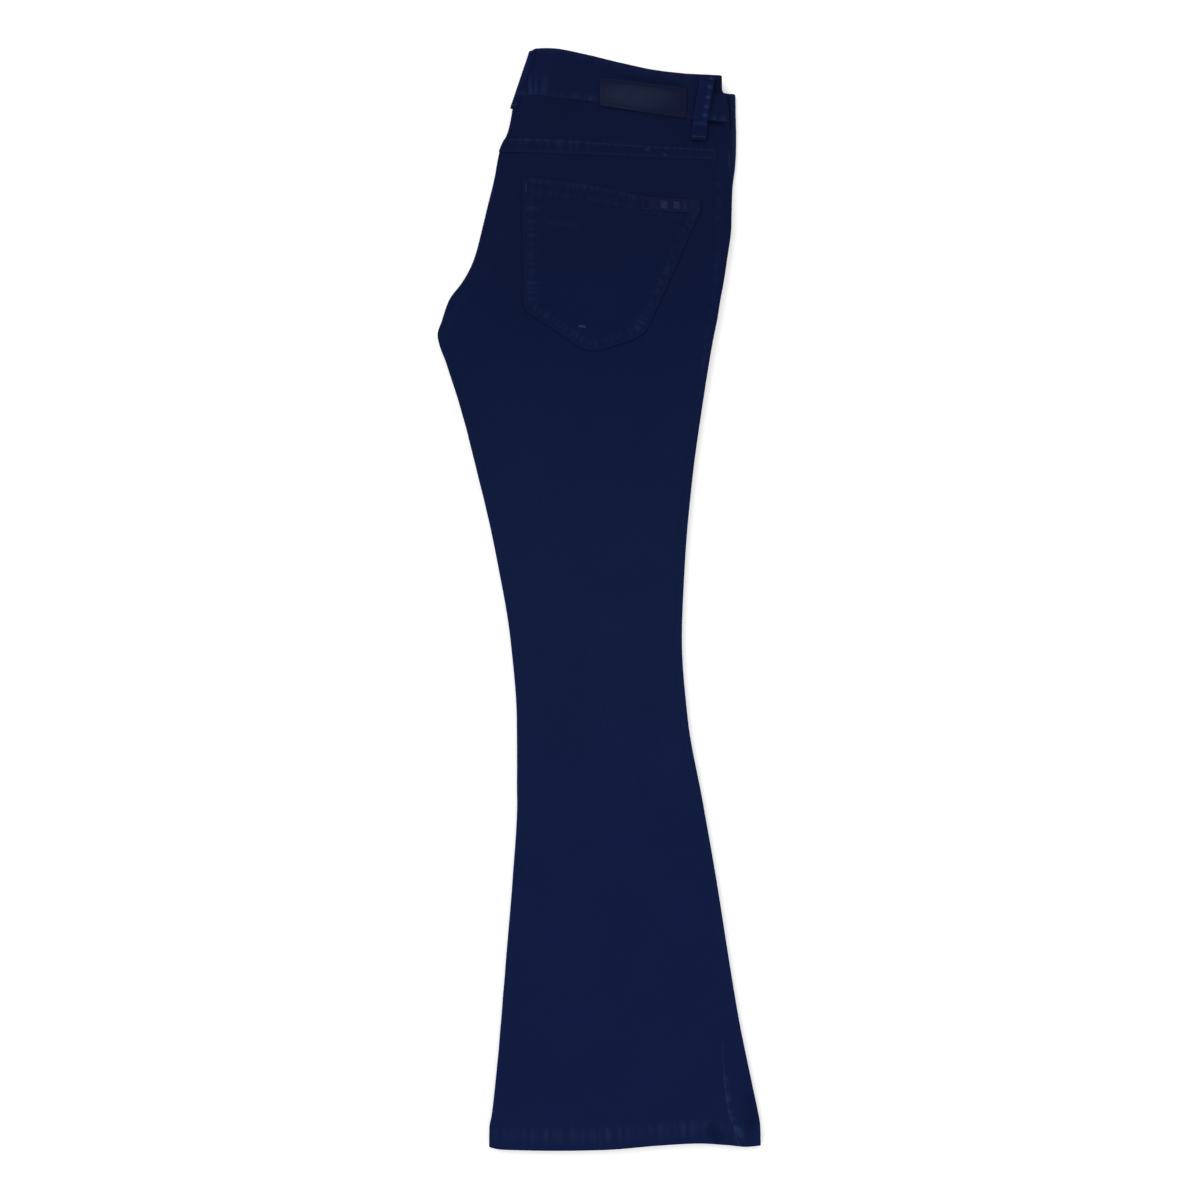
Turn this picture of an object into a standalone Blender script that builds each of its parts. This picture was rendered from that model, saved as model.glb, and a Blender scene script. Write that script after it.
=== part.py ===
"""Flared jeans, folded in half lengthwise with the front inside, lying flat on a surface.

X runs across the leg, Y up it to the waist and Z through the folded cloth. The right half lies
on top with its back up, and the left half under it with its back down. The inner edge is the
centre-back fold from the waist to the crotch and the two inseams below it. The outer edge is
the fold of each half beside its outseam. All sizes are in millimetres until a mesh is made.
"""

import math
from collections import namedtuple

import bmesh
import bpy

MM = 0.001
GAP = 0.3  # between pieces that meet or lie on each other

CLOTH = 1.6  # wall of a panel or a yoke
HEM_CLOTH = 2.4  # wall of the turned-up hem
BAND_CLOTH = 2.5  # wall of the doubled waistband
POCKET_CLOTH = 1.3
LOOP_CLOTH = 1.3
LEATHER = 1.2
TAB_CLOTH = 1.0

REST = POCKET_CLOTH + GAP  # height of the under half's hips over the surface, on its pocket
HIP_TOP = 12.6  # upper face of the hips and yokes
BAND_TOP = 13.6  # upper face of the waistband
HIP_MIDDLE = (REST + HIP_TOP) / 2.0  # between the two halves at the hips and the waist
FOLD_RADIUS = 3.2  # of the centre-back fold
LEG_LEAD = 10.0  # width of the columns next to an inseam
SEAT_LEAD = 12.0  # a thickening wider than this is wholly a centre-back fold
RETURN = 10.0  # how far the front panel turns in under the outer fold

ARC_STEPS = 3  # columns in a quarter turn of cloth
LEAD_STEPS = 3
FLAT_STEPS = 6
MITRE_LIMIT = 0.5  # least cosine of half a corner's turn, where an outline is inset

# One row for each section, from the waistband's top edge down to the edge of the hem.
#   y: height of its inner end            drop: how much lower its outer end is
#   slip: how much lower still the under half's outer end is
#   inner, outer: ends of the upper half  under: outer end of the under half
#   seam: outseam's distance from the outer edge
#   lead: width over which the cloth thickens from the centre-back fold to the full pile
#   wave, weight: the edge curve that the row follows, and how far
Row = namedtuple("Row", "y drop slip inner outer under seam lead wave weight")

BAND_ROWS = (
    Row(550.8, 28.3, 17.9, -68.7, 122.4, 136.3, 14.0, 30.0, "top", 1.0),
    Row(537.5, 28.0, 14.9, -73.2, 122.9, 136.6, 14.0, 30.0, "top", 0.715),
    Row(529.5, 27.8, 13.1, -75.9, 127.0, 136.7, 14.0, 30.0, "top", 0.543),
    Row(504.2, 27.0, 7.5, -84.4, 129.8, 137.2, 14.0, 30.0, "waist", 1.0),
)
YOKE_ROWS = (
    BAND_ROWS[-1],
    Row(469.0, 14.0, 7.0, -91.6, 130.3, 137.0, 14.0, 30.0, "waist", 0.4),
    Row(448.0, 9.0, 6.0, -100.4, 130.8, 136.1, 14.0, 30.0, "waist", 0.0),
)
LEG_ROWS = (
    YOKE_ROWS[2],
    Row(421.0, 6.0, 4.0, -105.6, 132.0, 133.5, 15.0, 29.0, "waist", 0.0),
    Row(379.0, 3.0, 2.0, -115.8, 132.1, 132.1, 15.0, 27.0, "waist", 0.0),
    Row(339.0, 1.0, 0.0, -126.5, 127.5, 127.5, 11.5, 25.0, "waist", 0.0),
    Row(319.0, 0.0, 0.0, -136.6, 124.7, 124.7, 10.0, 22.0, "waist", 0.0),
    Row(299.0, 0.0, 0.0, -151.0, 121.0, 121.0, 9.5, 18.0, "waist", 0.0),
    Row(279.0, 0.0, 0.0, -157.9, 117.8, 117.8, 9.5, 12.0, "waist", 0.0),
    Row(265.0, 0.0, 0.0, -162.3, 114.9, 114.9, 9.5, 4.0, "waist", 0.0),
    Row(254.0, 0.0, 0.0, -160.0, 112.8, 112.8, 8.5, 0.0, "waist", 0.0),
    Row(239.0, 0.0, 0.0, -154.3, 110.2, 110.2, 7.5, 0.0, "waist", 0.0),
    Row(199.0, 0.0, 0.0, -141.4, 103.9, 103.9, 6.5, 0.0, "waist", 0.0),
    Row(119.0, 0.0, 0.0, -120.2, 92.9, 92.9, 7.0, 0.0, "waist", 0.0),
    Row(39.0, 0.0, 0.0, -102.7, 85.8, 85.8, 8.0, 0.0, "waist", 0.0),
    Row(-41.0, 0.0, 0.0, -89.2, 82.6, 82.6, 8.0, 0.0, "waist", 0.0),
    Row(-121.0, 0.0, 0.0, -82.9, 88.6, 88.6, 8.0, 0.0, "waist", 0.0),
    Row(-201.0, 0.0, 0.0, -82.5, 103.1, 103.1, 8.0, 0.0, "waist", 0.0),
    Row(-281.0, 0.0, 0.0, -87.1, 117.1, 117.1, 9.0, 0.0, "waist", 0.0),
    Row(-361.0, 0.0, 0.0, -93.7, 129.7, 129.7, 11.0, 0.0, "hem", 0.0),
    Row(-421.0, 0.0, 0.0, -98.2, 139.6, 139.6, 17.0, 0.0, "hem", 0.2),
    Row(-481.0, 0.0, 0.0, -104.0, 151.7, 151.7, 26.0, 0.0, "hem", 0.6),
    Row(-517.0, 0.0, 0.0, -108.1, 159.2, 159.2, 29.0, 0.0, "hem", 0.9),
)
HEM_ROWS = (
    Row(-529.0, 0.0, 0.0, -110.3, 161.1, 161.1, 26.0, 0.0, "hem", 1.0),
    Row(-530.0, 0.0, 0.0, -110.4, 161.1, 161.1, 26.0, 0.0, "hem", 1.0),
    Row(-548.0, 0.0, 0.0, -110.6, 161.5, 161.5, 22.0, 0.0, "hem", 1.0),
)
FRONT_WAIST = Row(492.0, -24.0, 0.0, -50.0, 122.0, 135.0, 14.0, 30.0, "waist", 0.0)

# How far each curved edge lies above the straight line between its ends, by share of the way.
WAVES = {
    "top": ((0.0, -2.0), (0.03, 0.6), (0.13, 2.5), (0.3, 0.7), (0.46, -2.2), (0.65, -4.5),
            (0.8, -3.6), (0.92, -1.5), (1.0, 0.0)),
    "waist": ((0.0, 0.0), (0.14, 3.4), (0.37, 3.4), (0.5, 0.9), (0.65, -1.6), (0.84, -1.1),
              (1.0, 0.0)),
    "hem": ((0.0, 0.0), (0.05, -2.4), (0.25, -3.4), (0.42, -2.6), (0.63, 2.0), (0.77, 3.9),
            (0.88, 2.2), (0.94, 0.6), (1.0, 1.8)),
}

# Heights of the pile and its wall by the row's y: under face, upper face, wall of a panel.
Pile = namedtuple("Pile", "y base top wall")
PILES = (
    Pile(504.0, REST, HIP_TOP, CLOTH),
    Pile(254.0, REST, HIP_TOP, CLOTH),
    Pile(239.0, 1.2, 12.4, CLOTH),
    Pile(199.0, 0.0, 11.6, CLOTH),
    Pile(119.0, 0.0, 10.8, CLOTH),
    Pile(-41.0, 0.0, 10.0, CLOTH),
    Pile(-281.0, 0.0, 9.6, CLOTH),
    Pile(-529.0, 0.0, 9.6, CLOTH),
    Pile(-530.0, 0.0, 10.0, HEM_CLOTH),
    Pile(-548.0, 0.0, 10.0, HEM_CLOTH),
)

# The right pocket's outline on the panel, from its inner top corner along the top edge.
POCKET_OUTLINE = (
    (-76.5, 421.0), (-39.5, 417.2), (0.5, 411.7), (40.5, 402.5), (101.5, 391.0),
    (79.5, 341.0), (50.0, 277.0), (46.0, 268.0), (36.0, 261.0), (8.0, 251.5), (-5.0, 249.0),
    (-13.0, 249.5), (-20.0, 253.0), (-66.0, 283.5), (-72.0, 287.5), (-75.0, 294.0),
)
UNDER_POCKET_SLIP = -3.0
PATCH_OUTLINE = ((1.0, 520.5), (87.5, 510.0), (85.5, 481.0), (1.0, 493.5))
TAB_OUTLINE = ((41.5, 402.0), (100.5, 398.0), (100.0, 385.5), (41.5, 389.5))

# A belt loop's middle line: x, y and the height of its under side over the hips' face.
Station = namedtuple("Station", "x y lift")
LOOP_WIDTH = 14.0
BACK_LOOP = (
    Station(107.7, 521.0, 1.3), Station(106.0, 510.0, 2.2), Station(104.0, 498.0, 2.6),
    Station(102.2, 487.0, 2.1), Station(100.8, 477.5, 1.4), Station(99.8, 468.5, 0.5),
    Station(99.0, 459.5, 0.3),
)
UNDER_LOOP = (Station(111.0, 504.0, 0.0), Station(107.0, 474.0, 0.0), Station(105.0, 449.0, 0.0))
CENTRE_LOOP_REACH = 2.5  # beyond the half turn of the fold, on either side
CENTRE_LOOP_FOOT = 12.0  # below the waistband

CENTRE_LOOP_HEAD = 2.0  # below the waistband's top edge

# The hidden layers' outline is inset by these from their under face up to the middle, and by
# the same again up to their upper face: flat face, shoulder, edge, lip and bottom of the groove
# that parts the two legs' layers.
HIDDEN_INSETS = (3.4, CLOTH + 2.0 * GAP, 0.0, 0.9, 3.0)
HIDDEN_COLUMNS = 5
TURN_CLEARANCE = 7.0  # from the hidden layers to the turned-in edges of the front panels
SEAT_CLEARANCE = 2.0  # from the hidden layers to the end of the centre-back fold
BAND_FOOT = 460.0  # the hidden rows above this height lie inside the waistband

DENIM = (0.006, 0.010, 0.035)
DENIM_DARK = (0.004, 0.007, 0.028)
HIDE = (0.014, 0.016, 0.028)
WOVEN = (0.03, 0.035, 0.06)


def clear_scene():
    """Remove every object that the file starts with."""
    for old in list(bpy.data.objects):
        bpy.data.objects.remove(old, do_unlink=True)


def material(name, colour, roughness):
    """A plain finish."""
    made = bpy.data.materials.new(name)
    made.use_nodes = True
    shader = made.node_tree.nodes["Principled BSDF"]
    shader.inputs["Base Color"].default_value = (*colour, 1.0)
    shader.inputs["Roughness"].default_value = roughness
    shader.inputs["Metallic"].default_value = 0.0
    return made


def add_object(name, points, faces, finish):
    """A mesh object of points in millimetres, with its faces turned outwards."""
    mesh = bpy.data.meshes.new(name)
    form = bmesh.new()
    corners = [form.verts.new((x * MM, y * MM, z * MM)) for x, y, z in points]
    for face in faces:
        form.faces.new([corners[i] for i in face])
    bmesh.ops.recalc_face_normals(form, faces=form.faces)
    form.to_mesh(mesh)
    form.free()
    mesh.materials.append(finish)
    made = bpy.data.objects.new(name, mesh)
    bpy.context.scene.collection.objects.link(made)
    return made


def along(table, share):
    """The height of a wave at a share of the way along its edge."""
    for (x0, y0), (x1, y1) in zip(table, table[1:]):
        if share <= x1:
            return y0 + (y1 - y0) * (share - x0) / (x1 - x0)
    return table[-1][1]


def pile_at(y):
    """Heights and wall of the pile of cloth at a row's y."""
    if y >= PILES[0].y:
        return PILES[0]
    for upper, lower in zip(PILES, PILES[1:]):
        if y >= lower.y:
            t = (upper.y - y) / (upper.y - lower.y)
            return Pile(y, *(a + (b - a) * t for a, b in zip(upper[1:], lower[1:])))
    return PILES[-1]


def row_y(row, x, under, nudge):
    """Height in the plan of a row's line at x."""
    outer = row.under if under else row.outer
    share = min(max((x - row.inner) / (outer - row.inner), 0.0), 1.0)
    slip = row.slip * share if under else 0.0
    return row.y + nudge - row.drop * share - slip + row.weight * along(WAVES[row.wave], share)


def arc(centre_x, centre_z, radius, start, end, steps):
    """Points of an arc in the X-Z plane, its angles in degrees from +X."""
    found = []
    for i in range(steps + 1):
        angle = math.radians(start + (end - start) * i / steps)
        found.append((centre_x + radius * math.cos(angle), centre_z + radius * math.sin(angle)))
    return found


def smooth(t):
    """A soft step from 0 to 1."""
    return t * t * (3.0 - 2.0 * t)


def lobe_radius(height):
    """Radius of the folded edge of one half, from the height of that half of the pile."""
    return (height - GAP / 2.0) / 2.0


def fold_of(row, pile):
    """Radius of the inner edge, and the height of its centre on the upper half."""
    seat = min(row.lead / SEAT_LEAD, 1.0)
    leg_radius = lobe_radius((pile.top - pile.base) / 2.0)
    radius = leg_radius + (FOLD_RADIUS - leg_radius) * seat
    seat_centre = pile.base + FOLD_RADIUS + GAP
    leg_centre = pile.top - leg_radius
    return radius, leg_centre + (seat_centre - leg_centre) * seat


def columns_across(start, row, edge):
    """X of the columns over the thickening and then over the flat, up to the outseam."""
    end = row.inner + max(row.lead, LEG_LEAD)
    seam = edge - row.seam
    lead = [start + (end - start) * i / LEAD_STEPS for i in range(1, LEAD_STEPS + 1)]
    flat = [end + (seam - end) * i / FLAT_STEPS for i in range(1, FLAT_STEPS + 1)]
    return lead, flat


def face_run(start, row, edge, crown, face):
    """X-Z points of an outer face, from its crown beside the fold to the outseam."""
    lead, flat = columns_across(start, row, edge)
    climb = [crown + (face - crown) * smooth((i + 1) / LEAD_STEPS) for i in range(LEAD_STEPS)]
    return list(zip(lead, climb)) + [(x, face) for x in flat]


def back_section(row, pile, under):
    """Outer and inner faces of a back panel or a yoke across one row, as X-Z points."""
    radius, centre = fold_of(row, pile)
    if under:
        centre = pile.base + radius
        crown, face, side = pile.base, pile.base, -1.0
    else:
        crown, face, side = centre + radius, pile.top, 1.0
    start = row.inner + radius
    run = face_run(start, row, row.under if under else row.outer, crown, face)
    turn = 180.0 - side * 90.0
    outer = arc(start, centre, radius, 180.0, turn, ARC_STEPS) + run
    inner = arc(start, centre, radius - pile.wall, 180.0, turn, ARC_STEPS)
    inner += [(x, z - side * pile.wall) for x, z in run]
    return outer, inner


def front_section(row, pile, under):
    """Outer and inner faces of a front panel from the outseam round the outer fold and in."""
    edge = row.under if under else row.outer
    radius = lobe_radius((pile.top - pile.base) / 2.0)
    reach = RETURN + 2.0 * (edge - row.outer)

    def run(radius_of_face):
        """The section at one distance from the middle of the folded edge."""
        turn = arc(edge - radius, pile.top - radius, radius_of_face, 90.0, -90.0, 2 * ARC_STEPS)
        first = (edge - row.seam + GAP, turn[0][1])
        last = (edge - reach, turn[-1][1])
        return [first, *turn, last]

    faces = run(radius), run(radius - pile.wall)
    if under:
        flip = pile.base + pile.top
        faces = tuple([(x, flip - z) for x, z in face] for face in faces)
    return faces


def band_section(row):
    """Outer and inner faces of the waistband: its upper half to the fold, then its under half."""
    fold = FOLD_RADIUS + GAP / 2.0
    crown = REST + 2.0 * fold
    start = row.inner + fold

    def half(edge, height, crown_z, face_z, depth):
        """One half, right way up, from inside its outer fold to the crown beside the fold."""
        radius = lobe_radius(height)
        reach = RETURN + 2.0 * (edge - row.outer)
        turn = arc(edge - radius, face_z - radius, radius - depth, -90.0, 90.0, 2 * ARC_STEPS)
        turn.insert(0, (edge - reach, turn[0][1]))
        run = face_run(start, row, edge, crown_z, face_z)
        return turn + [(x, z - depth) for x, z in reversed(run)]

    def face(depth):
        """The whole section at a depth under the outer face."""
        upper = half(row.outer, BAND_TOP - HIP_MIDDLE, crown, BAND_TOP, depth)
        under = half(row.under, HIP_MIDDLE - REST, -REST, -REST, depth)
        turn = arc(start, REST + fold, fold - depth, 90.0, 270.0, 2 * ARC_STEPS)
        return upper, turn + [(x, -z) for x, z in reversed(under)]

    return face(0.0), face(BAND_CLOTH)


def wall(name, outer, inner, finish):
    """A closed wall of cloth between two grids of points with the same rows and columns."""
    rows, columns = len(outer), len(outer[0])
    points = [p for line in outer for p in line] + [p for line in inner for p in line]
    skin = rows * columns
    faces = []
    for i in range(rows - 1):
        for j in range(columns - 1):
            a, b = i * columns + j, (i + 1) * columns + j
            faces.append((a, a + 1, b + 1, b))
            faces.append((skin + b, skin + b + 1, skin + a + 1, skin + a))
    rim = [j for j in range(columns)]
    rim += [i * columns + columns - 1 for i in range(1, rows)]
    rim += [(rows - 1) * columns + j for j in range(columns - 2, -1, -1)]
    rim += [i * columns for i in range(rows - 2, 0, -1)]
    for a, b in zip(rim, rim[1:] + rim[:1]):
        faces.append((b, a, skin + a, skin + b))
    return add_object(name, points, faces, finish)


def placed(row, section, under, nudge):
    """A section's X-Z points set on the row's line in the plan."""
    return [(x, row_y(row, x, under, nudge), z) for x, z in section]


def lofted(name, rows, section, under, finish):
    """A panel or yoke: a wall through the sections of its rows, just clear of the piece above."""
    outer, inner = [], []
    for i, row in enumerate(rows):
        nudge = -GAP if i == 0 else 0.0
        faces = section(row, pile_at(row.y), under)
        outer.append(placed(row, faces[0], under, nudge))
        inner.append(placed(row, faces[1], under, nudge))
    return wall(name, outer, inner, finish)


def waistband(finish):
    """One doubled band round the centre-back fold and both outer folds."""
    outer, inner = [], []
    for row in BAND_ROWS:
        for grid, (upper, lower) in zip((outer, inner), band_section(row)):
            line = placed(row, upper, False, 0.0) + placed(row, lower, True, 0.0)
            grid.append(line)
    return wall("waistband", outer, inner, finish)


def plate(name, outline, low, thickness, finish):
    """A flat piece of cloth or leather with the outline given, lying at a height."""
    count = len(outline)
    points = [(x, y, low) for x, y in outline]
    points += [(x, y, low + thickness) for x, y in outline]
    faces = [tuple(range(count)), tuple(range(2 * count - 1, count - 1, -1))]
    for i in range(count):
        j = (i + 1) % count
        faces.append((j, i, count + i, count + j))
    return add_object(name, points, faces, finish)


def loop_strip(name, stations, foot, finish):
    """A belt loop: a strip along its stations, with its under side lifted over a face."""
    lower, upper = [], []
    for i, here in enumerate(stations):
        before, after = stations[max(i - 1, 0)], stations[min(i + 1, len(stations) - 1)]
        length = math.hypot(after.x - before.x, after.y - before.y)
        across = (before.y - after.y) / length, (after.x - before.x) / length
        for grid, z in ((lower, foot + here.lift), (upper, foot + here.lift + LOOP_CLOTH)):
            line = []
            for side in (-LOOP_WIDTH / 2.0, 0.0, LOOP_WIDTH / 2.0):
                line.append((here.x + across[0] * side, here.y + across[1] * side, z))
            grid.append(line)
    return wall(name, upper, lower, finish)


def centre_loop(finish):
    """The belt loop that wraps the centre-back fold, from the band's top edge to its foot."""
    fold = FOLD_RADIUS + GAP / 2.0
    top, foot = BAND_ROWS[0], BAND_ROWS[-1]
    slope = (top.inner - foot.inner) / (top.y - foot.y)
    reach = CENTRE_LOOP_REACH
    climb = (BAND_TOP - REST - 2.0 * fold) * smooth(reach / (top.lead - fold))
    grids = []
    for radius in (fold + GAP, fold + GAP + LOOP_CLOTH):
        grid = []
        for y in (top.y - CENTRE_LOOP_HEAD, foot.y, foot.y - CENTRE_LOOP_FOOT):
            centre_x = foot.inner + slope * (y - foot.y) + fold
            turn = arc(centre_x, REST + fold, radius, 90.0, 270.0, 2 * ARC_STEPS)
            turn.insert(0, (turn[0][0] + reach, turn[0][1] + climb))
            turn.append((turn[-1][0] + reach, turn[-1][1]))
            grid.append([(x, y, z) for x, z in turn])
        grids.append(grid)
    return wall("belt_loop_centre_back", grids[1], grids[0], finish)


def inset(ring, distance):
    """A closed outline in the plan moved inwards, its points run clockwise."""
    moved = []
    count = len(ring)
    for i, (x, y) in enumerate(ring):
        (x0, y0), (x1, y1) = ring[i - 1], ring[(i + 1) % count]
        ax, ay = x - x0, y - y0
        bx, by = x1 - x, y1 - y
        a, b = math.hypot(ax, ay), math.hypot(bx, by)
        nx, ny = ay / a + by / b, -ax / a - bx / b
        size = math.hypot(nx, ny)
        mitre = distance / max(size / 2.0, MITRE_LIMIT) / size
        moved.append((x + nx * mitre, y + ny * mitre))
    return moved


def hidden_heights(row, pile):
    """Heights of the hidden layers at a row: one for each inset, upwards, then their mirror."""
    middle = (pile.base + pile.top) / 2.0
    seam = lobe_radius((pile.top - pile.base) / 2.0) + GAP  # a panel's edge at its inseam
    under, upper = pile.base + seam, pile.top - seam
    cloth = BAND_CLOTH if row.y > BAND_FOOT else pile.wall
    lower_half = (pile.base + cloth + GAP, under, under, (under + middle) / 2.0, middle - GAP / 2.0)
    upper_half = (middle + GAP / 2.0, (upper + middle) / 2.0, upper, upper,
                  pile.top - pile.wall - GAP)
    return lower_half + upper_half


def hidden_line(row):
    """Points in the plan across the hidden layers at a row, clear of the folds on both sides."""
    beside_fold = row.lead > 0.0 and row is not FRONT_WAIST
    left = row.inner + (row.lead + SEAT_CLEARANCE if beside_fold else 0.0)
    right = row.outer - RETURN - (row.under - row.outer) - TURN_CLEARANCE
    line = []
    for j in range(HIDDEN_COLUMNS):
        x = left + (right - left) * j / (HIDDEN_COLUMNS - 1)
        line.append((x, row_y(row, x, False, 0.0)))
    return line


def rim_of(last_row, last_column):
    """Places round the edge of a grid of rows and columns, clockwise in the plan."""
    rim = [(0, j) for j in range(last_column + 1)]
    rim += [(i, last_column) for i in range(1, last_row + 1)]
    rim += [(last_row, j) for j in range(last_column - 1, -1, -1)]
    rim += [(i, 0) for i in range(last_row - 1, 0, -1)]
    return rim


def folded_front_layers(finish):
    """The hidden layers as one rounded solid: both fronts, layered all round by a groove."""
    rows = (FRONT_WAIST, *YOKE_ROWS[1:], *LEG_ROWS[1:], *HEM_ROWS[1:])
    grid = [hidden_line(row) for row in rows]
    heights = [hidden_heights(row, pile_at(row.y)) for row in rows]
    last_row, last_column = len(rows) - 1, HIDDEN_COLUMNS - 1
    rim = rim_of(last_row, last_column)
    ring = [grid[i][j] for i, j in rim]
    count = len(rim)
    insets = HIDDEN_INSETS + HIDDEN_INSETS[::-1]
    points, faces = [], []
    for level, distance in enumerate(insets):
        flat = inset(ring, distance)
        points += [(x, y, heights[i][level]) for (x, y), (i, _) in zip(flat, rim)]
    for level in range(len(insets) - 1):
        for i in range(count):
            a, b = level * count + i, level * count + (i + 1) % count
            faces.append((a, b, b + count, a + count))
    for level in (0, len(insets) - 1):
        corner = {place: level * count + n for n, place in enumerate(rim)}
        for i in range(1, last_row):
            for j in range(1, last_column):
                corner[(i, j)] = len(points)
                points.append((*grid[i][j], heights[i][level]))
        for i in range(last_row):
            for j in range(last_column):
                faces.append((corner[(i, j)], corner[(i, j + 1)], corner[(i + 1, j + 1)],
                              corner[(i + 1, j)]))
    return add_object("folded_front_layers", points, faces, finish)


def main():
    """Build every piece of the folded jeans."""
    clear_scene()
    denim = material("denim", DENIM, 0.9)
    trim = material("denim_trim", DENIM_DARK, 0.9)
    hide = material("leather", HIDE, 0.6)
    woven = material("woven_tab", WOVEN, 0.8)
    panel_rows = LEG_ROWS + HEM_ROWS
    front_rows = YOKE_ROWS + LEG_ROWS[1:] + HEM_ROWS
    for side, under in (("right", False), ("left", True)):
        lofted(f"{side}_back_panel", panel_rows, back_section, under, denim)
        lofted(f"{side}_back_yoke", YOKE_ROWS, back_section, under, denim)
        lofted(f"{side}_front_panel", front_rows, front_section, under, denim)
    waistband(denim)
    folded_front_layers(denim)
    plate("right_back_pocket", POCKET_OUTLINE, HIP_TOP + GAP, POCKET_CLOTH, denim)
    slipped = [(x, y + UNDER_POCKET_SLIP) for x, y in POCKET_OUTLINE]
    plate("left_back_pocket", slipped, 0.0, POCKET_CLOTH, denim)
    plate("waistband_patch", PATCH_OUTLINE, BAND_TOP + GAP, LEATHER, hide)
    tab_foot = HIP_TOP + GAP + POCKET_CLOTH + GAP
    plate("pocket_tab", TAB_OUTLINE, tab_foot, TAB_CLOTH, woven)
    loop_strip("belt_loop_right_back", BACK_LOOP, HIP_TOP, trim)
    loop_strip("belt_loop_left_back", UNDER_LOOP, 0.0, trim)
    centre_loop(trim)


main()
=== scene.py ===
"""Looks of a pair of dark flared jeans, folded in half lengthwise and lying flat.

The upper half is the wearer's right half with its back up, and the under half is the left one
with its back down. X runs across the leg towards the outseam, Y up the leg to the waist and Z
up through the folded cloth. Sizes are in millimetres until a mesh, a light or a camera is made.
"""

import logging
import math
from dataclasses import dataclass, replace
from enum import Enum
from functools import cache, cached_property
from typing import Callable, NamedTuple, Sequence

import bpy
import numpy as np
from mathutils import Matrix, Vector


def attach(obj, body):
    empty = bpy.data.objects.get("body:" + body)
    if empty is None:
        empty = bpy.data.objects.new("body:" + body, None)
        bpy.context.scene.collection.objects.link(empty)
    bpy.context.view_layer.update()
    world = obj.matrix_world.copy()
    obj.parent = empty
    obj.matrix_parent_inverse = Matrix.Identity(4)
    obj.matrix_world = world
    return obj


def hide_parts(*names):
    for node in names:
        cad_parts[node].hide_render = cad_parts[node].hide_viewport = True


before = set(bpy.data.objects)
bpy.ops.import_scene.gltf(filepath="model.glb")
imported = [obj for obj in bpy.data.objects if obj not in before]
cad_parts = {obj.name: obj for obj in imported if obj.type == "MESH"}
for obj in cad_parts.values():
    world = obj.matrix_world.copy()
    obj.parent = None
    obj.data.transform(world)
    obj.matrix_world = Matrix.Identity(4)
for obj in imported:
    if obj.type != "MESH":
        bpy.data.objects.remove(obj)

Array = np.ndarray
HeightMap = Callable[[Array, Array], Array]
Socket = bpy.types.NodeSocket
Piece = bpy.types.Object
Triple = tuple[float, float, float]
Point = tuple[float, float]

MM = 0.001
BODY = "root"
LOG = logging.getLogger("jeans")


class Half(Enum):
    """Which half of the folded jeans a piece belongs to; the value points out of the pile."""

    UPPER = 1.0
    UNDER = -1.0


class Slot(Enum):
    """The record's material slots."""

    DENIM = "denim"
    TRIM = "denim_trim"
    LEATHER = "leather"
    WOVEN = "woven_tab"


class Held(Enum):
    """How a sheet of cloth is held."""

    FOLDED = "folded"
    LAID = "laid"


# --------------------------------------------------------------------------- plain mathematics


def soft_step(t: Array | float) -> Array:
    """A soft step from 0 to 1 as t goes from 0 to 1."""
    t = np.clip(t, 0.0, 1.0)
    return t * t * (3.0 - 2.0 * t)


def bell(distance: Array, width: float) -> Array:
    """A bell of height 1 at no distance, about nothing beyond two widths."""
    return np.exp(-((distance / width) ** 2))


def unit(vectors: Array) -> Array:
    """Vectors of length 1."""
    return vectors / np.maximum(np.linalg.norm(vectors, axis=-1, keepdims=True), 1e-9)


def travelled(points: Array) -> Array:
    """The distance from a path's first point to each of its points, along the path."""
    return np.concatenate([[0.0], np.cumsum(np.linalg.norm(np.diff(points, axis=0), axis=1))])


def spaced(*stretches: Triple) -> Array:
    """Places along a line.

    Args:
        stretches: the start, the end and the step of each stretch.

    Returns:
        The places, from the first start to the last end.
    """
    found = []
    for start, end, step in stretches:
        count = max(math.ceil(abs(end - start) / step), 1)
        found.append(np.linspace(start, end, count + 1)[:-1])
    return np.concatenate([*found, [stretches[-1][1]]])


def shares_of(*stretches: Triple) -> Array:
    """Shares from 0 to 1 at the places of some stretches."""
    places = spaced(*stretches)
    return (places - places[0]) / (places[-1] - places[0])


class Curve:
    """A smooth curve through a short table, with no overshoot, level beyond its ends."""

    def __init__(self, places: Sequence[float], values: Sequence[float]) -> None:
        """Find a slope for each place.

        Args:
            places: where the values hold, in any order.
            values: the value at each place.
        """
        order = np.argsort(places)
        self.x, self.y = np.asarray(places, float)[order], np.asarray(values, float)[order]
        step = np.diff(self.x)
        rise = np.diff(self.y) / step
        near, far = 2.0 * step[1:] + step[:-1], step[1:] + 2.0 * step[:-1]
        with np.errstate(divide="ignore", invalid="ignore"):
            mean = (near + far) / (near / rise[:-1] + far / rise[1:])
        mean = np.where(rise[:-1] * rise[1:] > 0.0, mean, 0.0)
        self.slope = np.concatenate([rise[:1], mean, rise[-1:]])

    def __call__(self, place: Array | float) -> Array:
        """The curve's value at a place.

        Args:
            place: one place or an array of them.

        Returns:
            The values, in the shape of place.
        """
        place = np.clip(place, self.x[0], self.x[-1])
        i = np.clip(np.searchsorted(self.x, place) - 1, 0, len(self.x) - 2)
        step = self.x[i + 1] - self.x[i]
        t = (place - self.x[i]) / step
        bend = (3.0 * t**2 - 2.0 * t**3) * (self.y[i + 1] - self.y[i]) + self.y[i]
        lean = (t**3 - 2.0 * t**2 + t) * self.slope[i] + (t**3 - t**2) * self.slope[i + 1]
        return bend + lean * step


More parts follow.
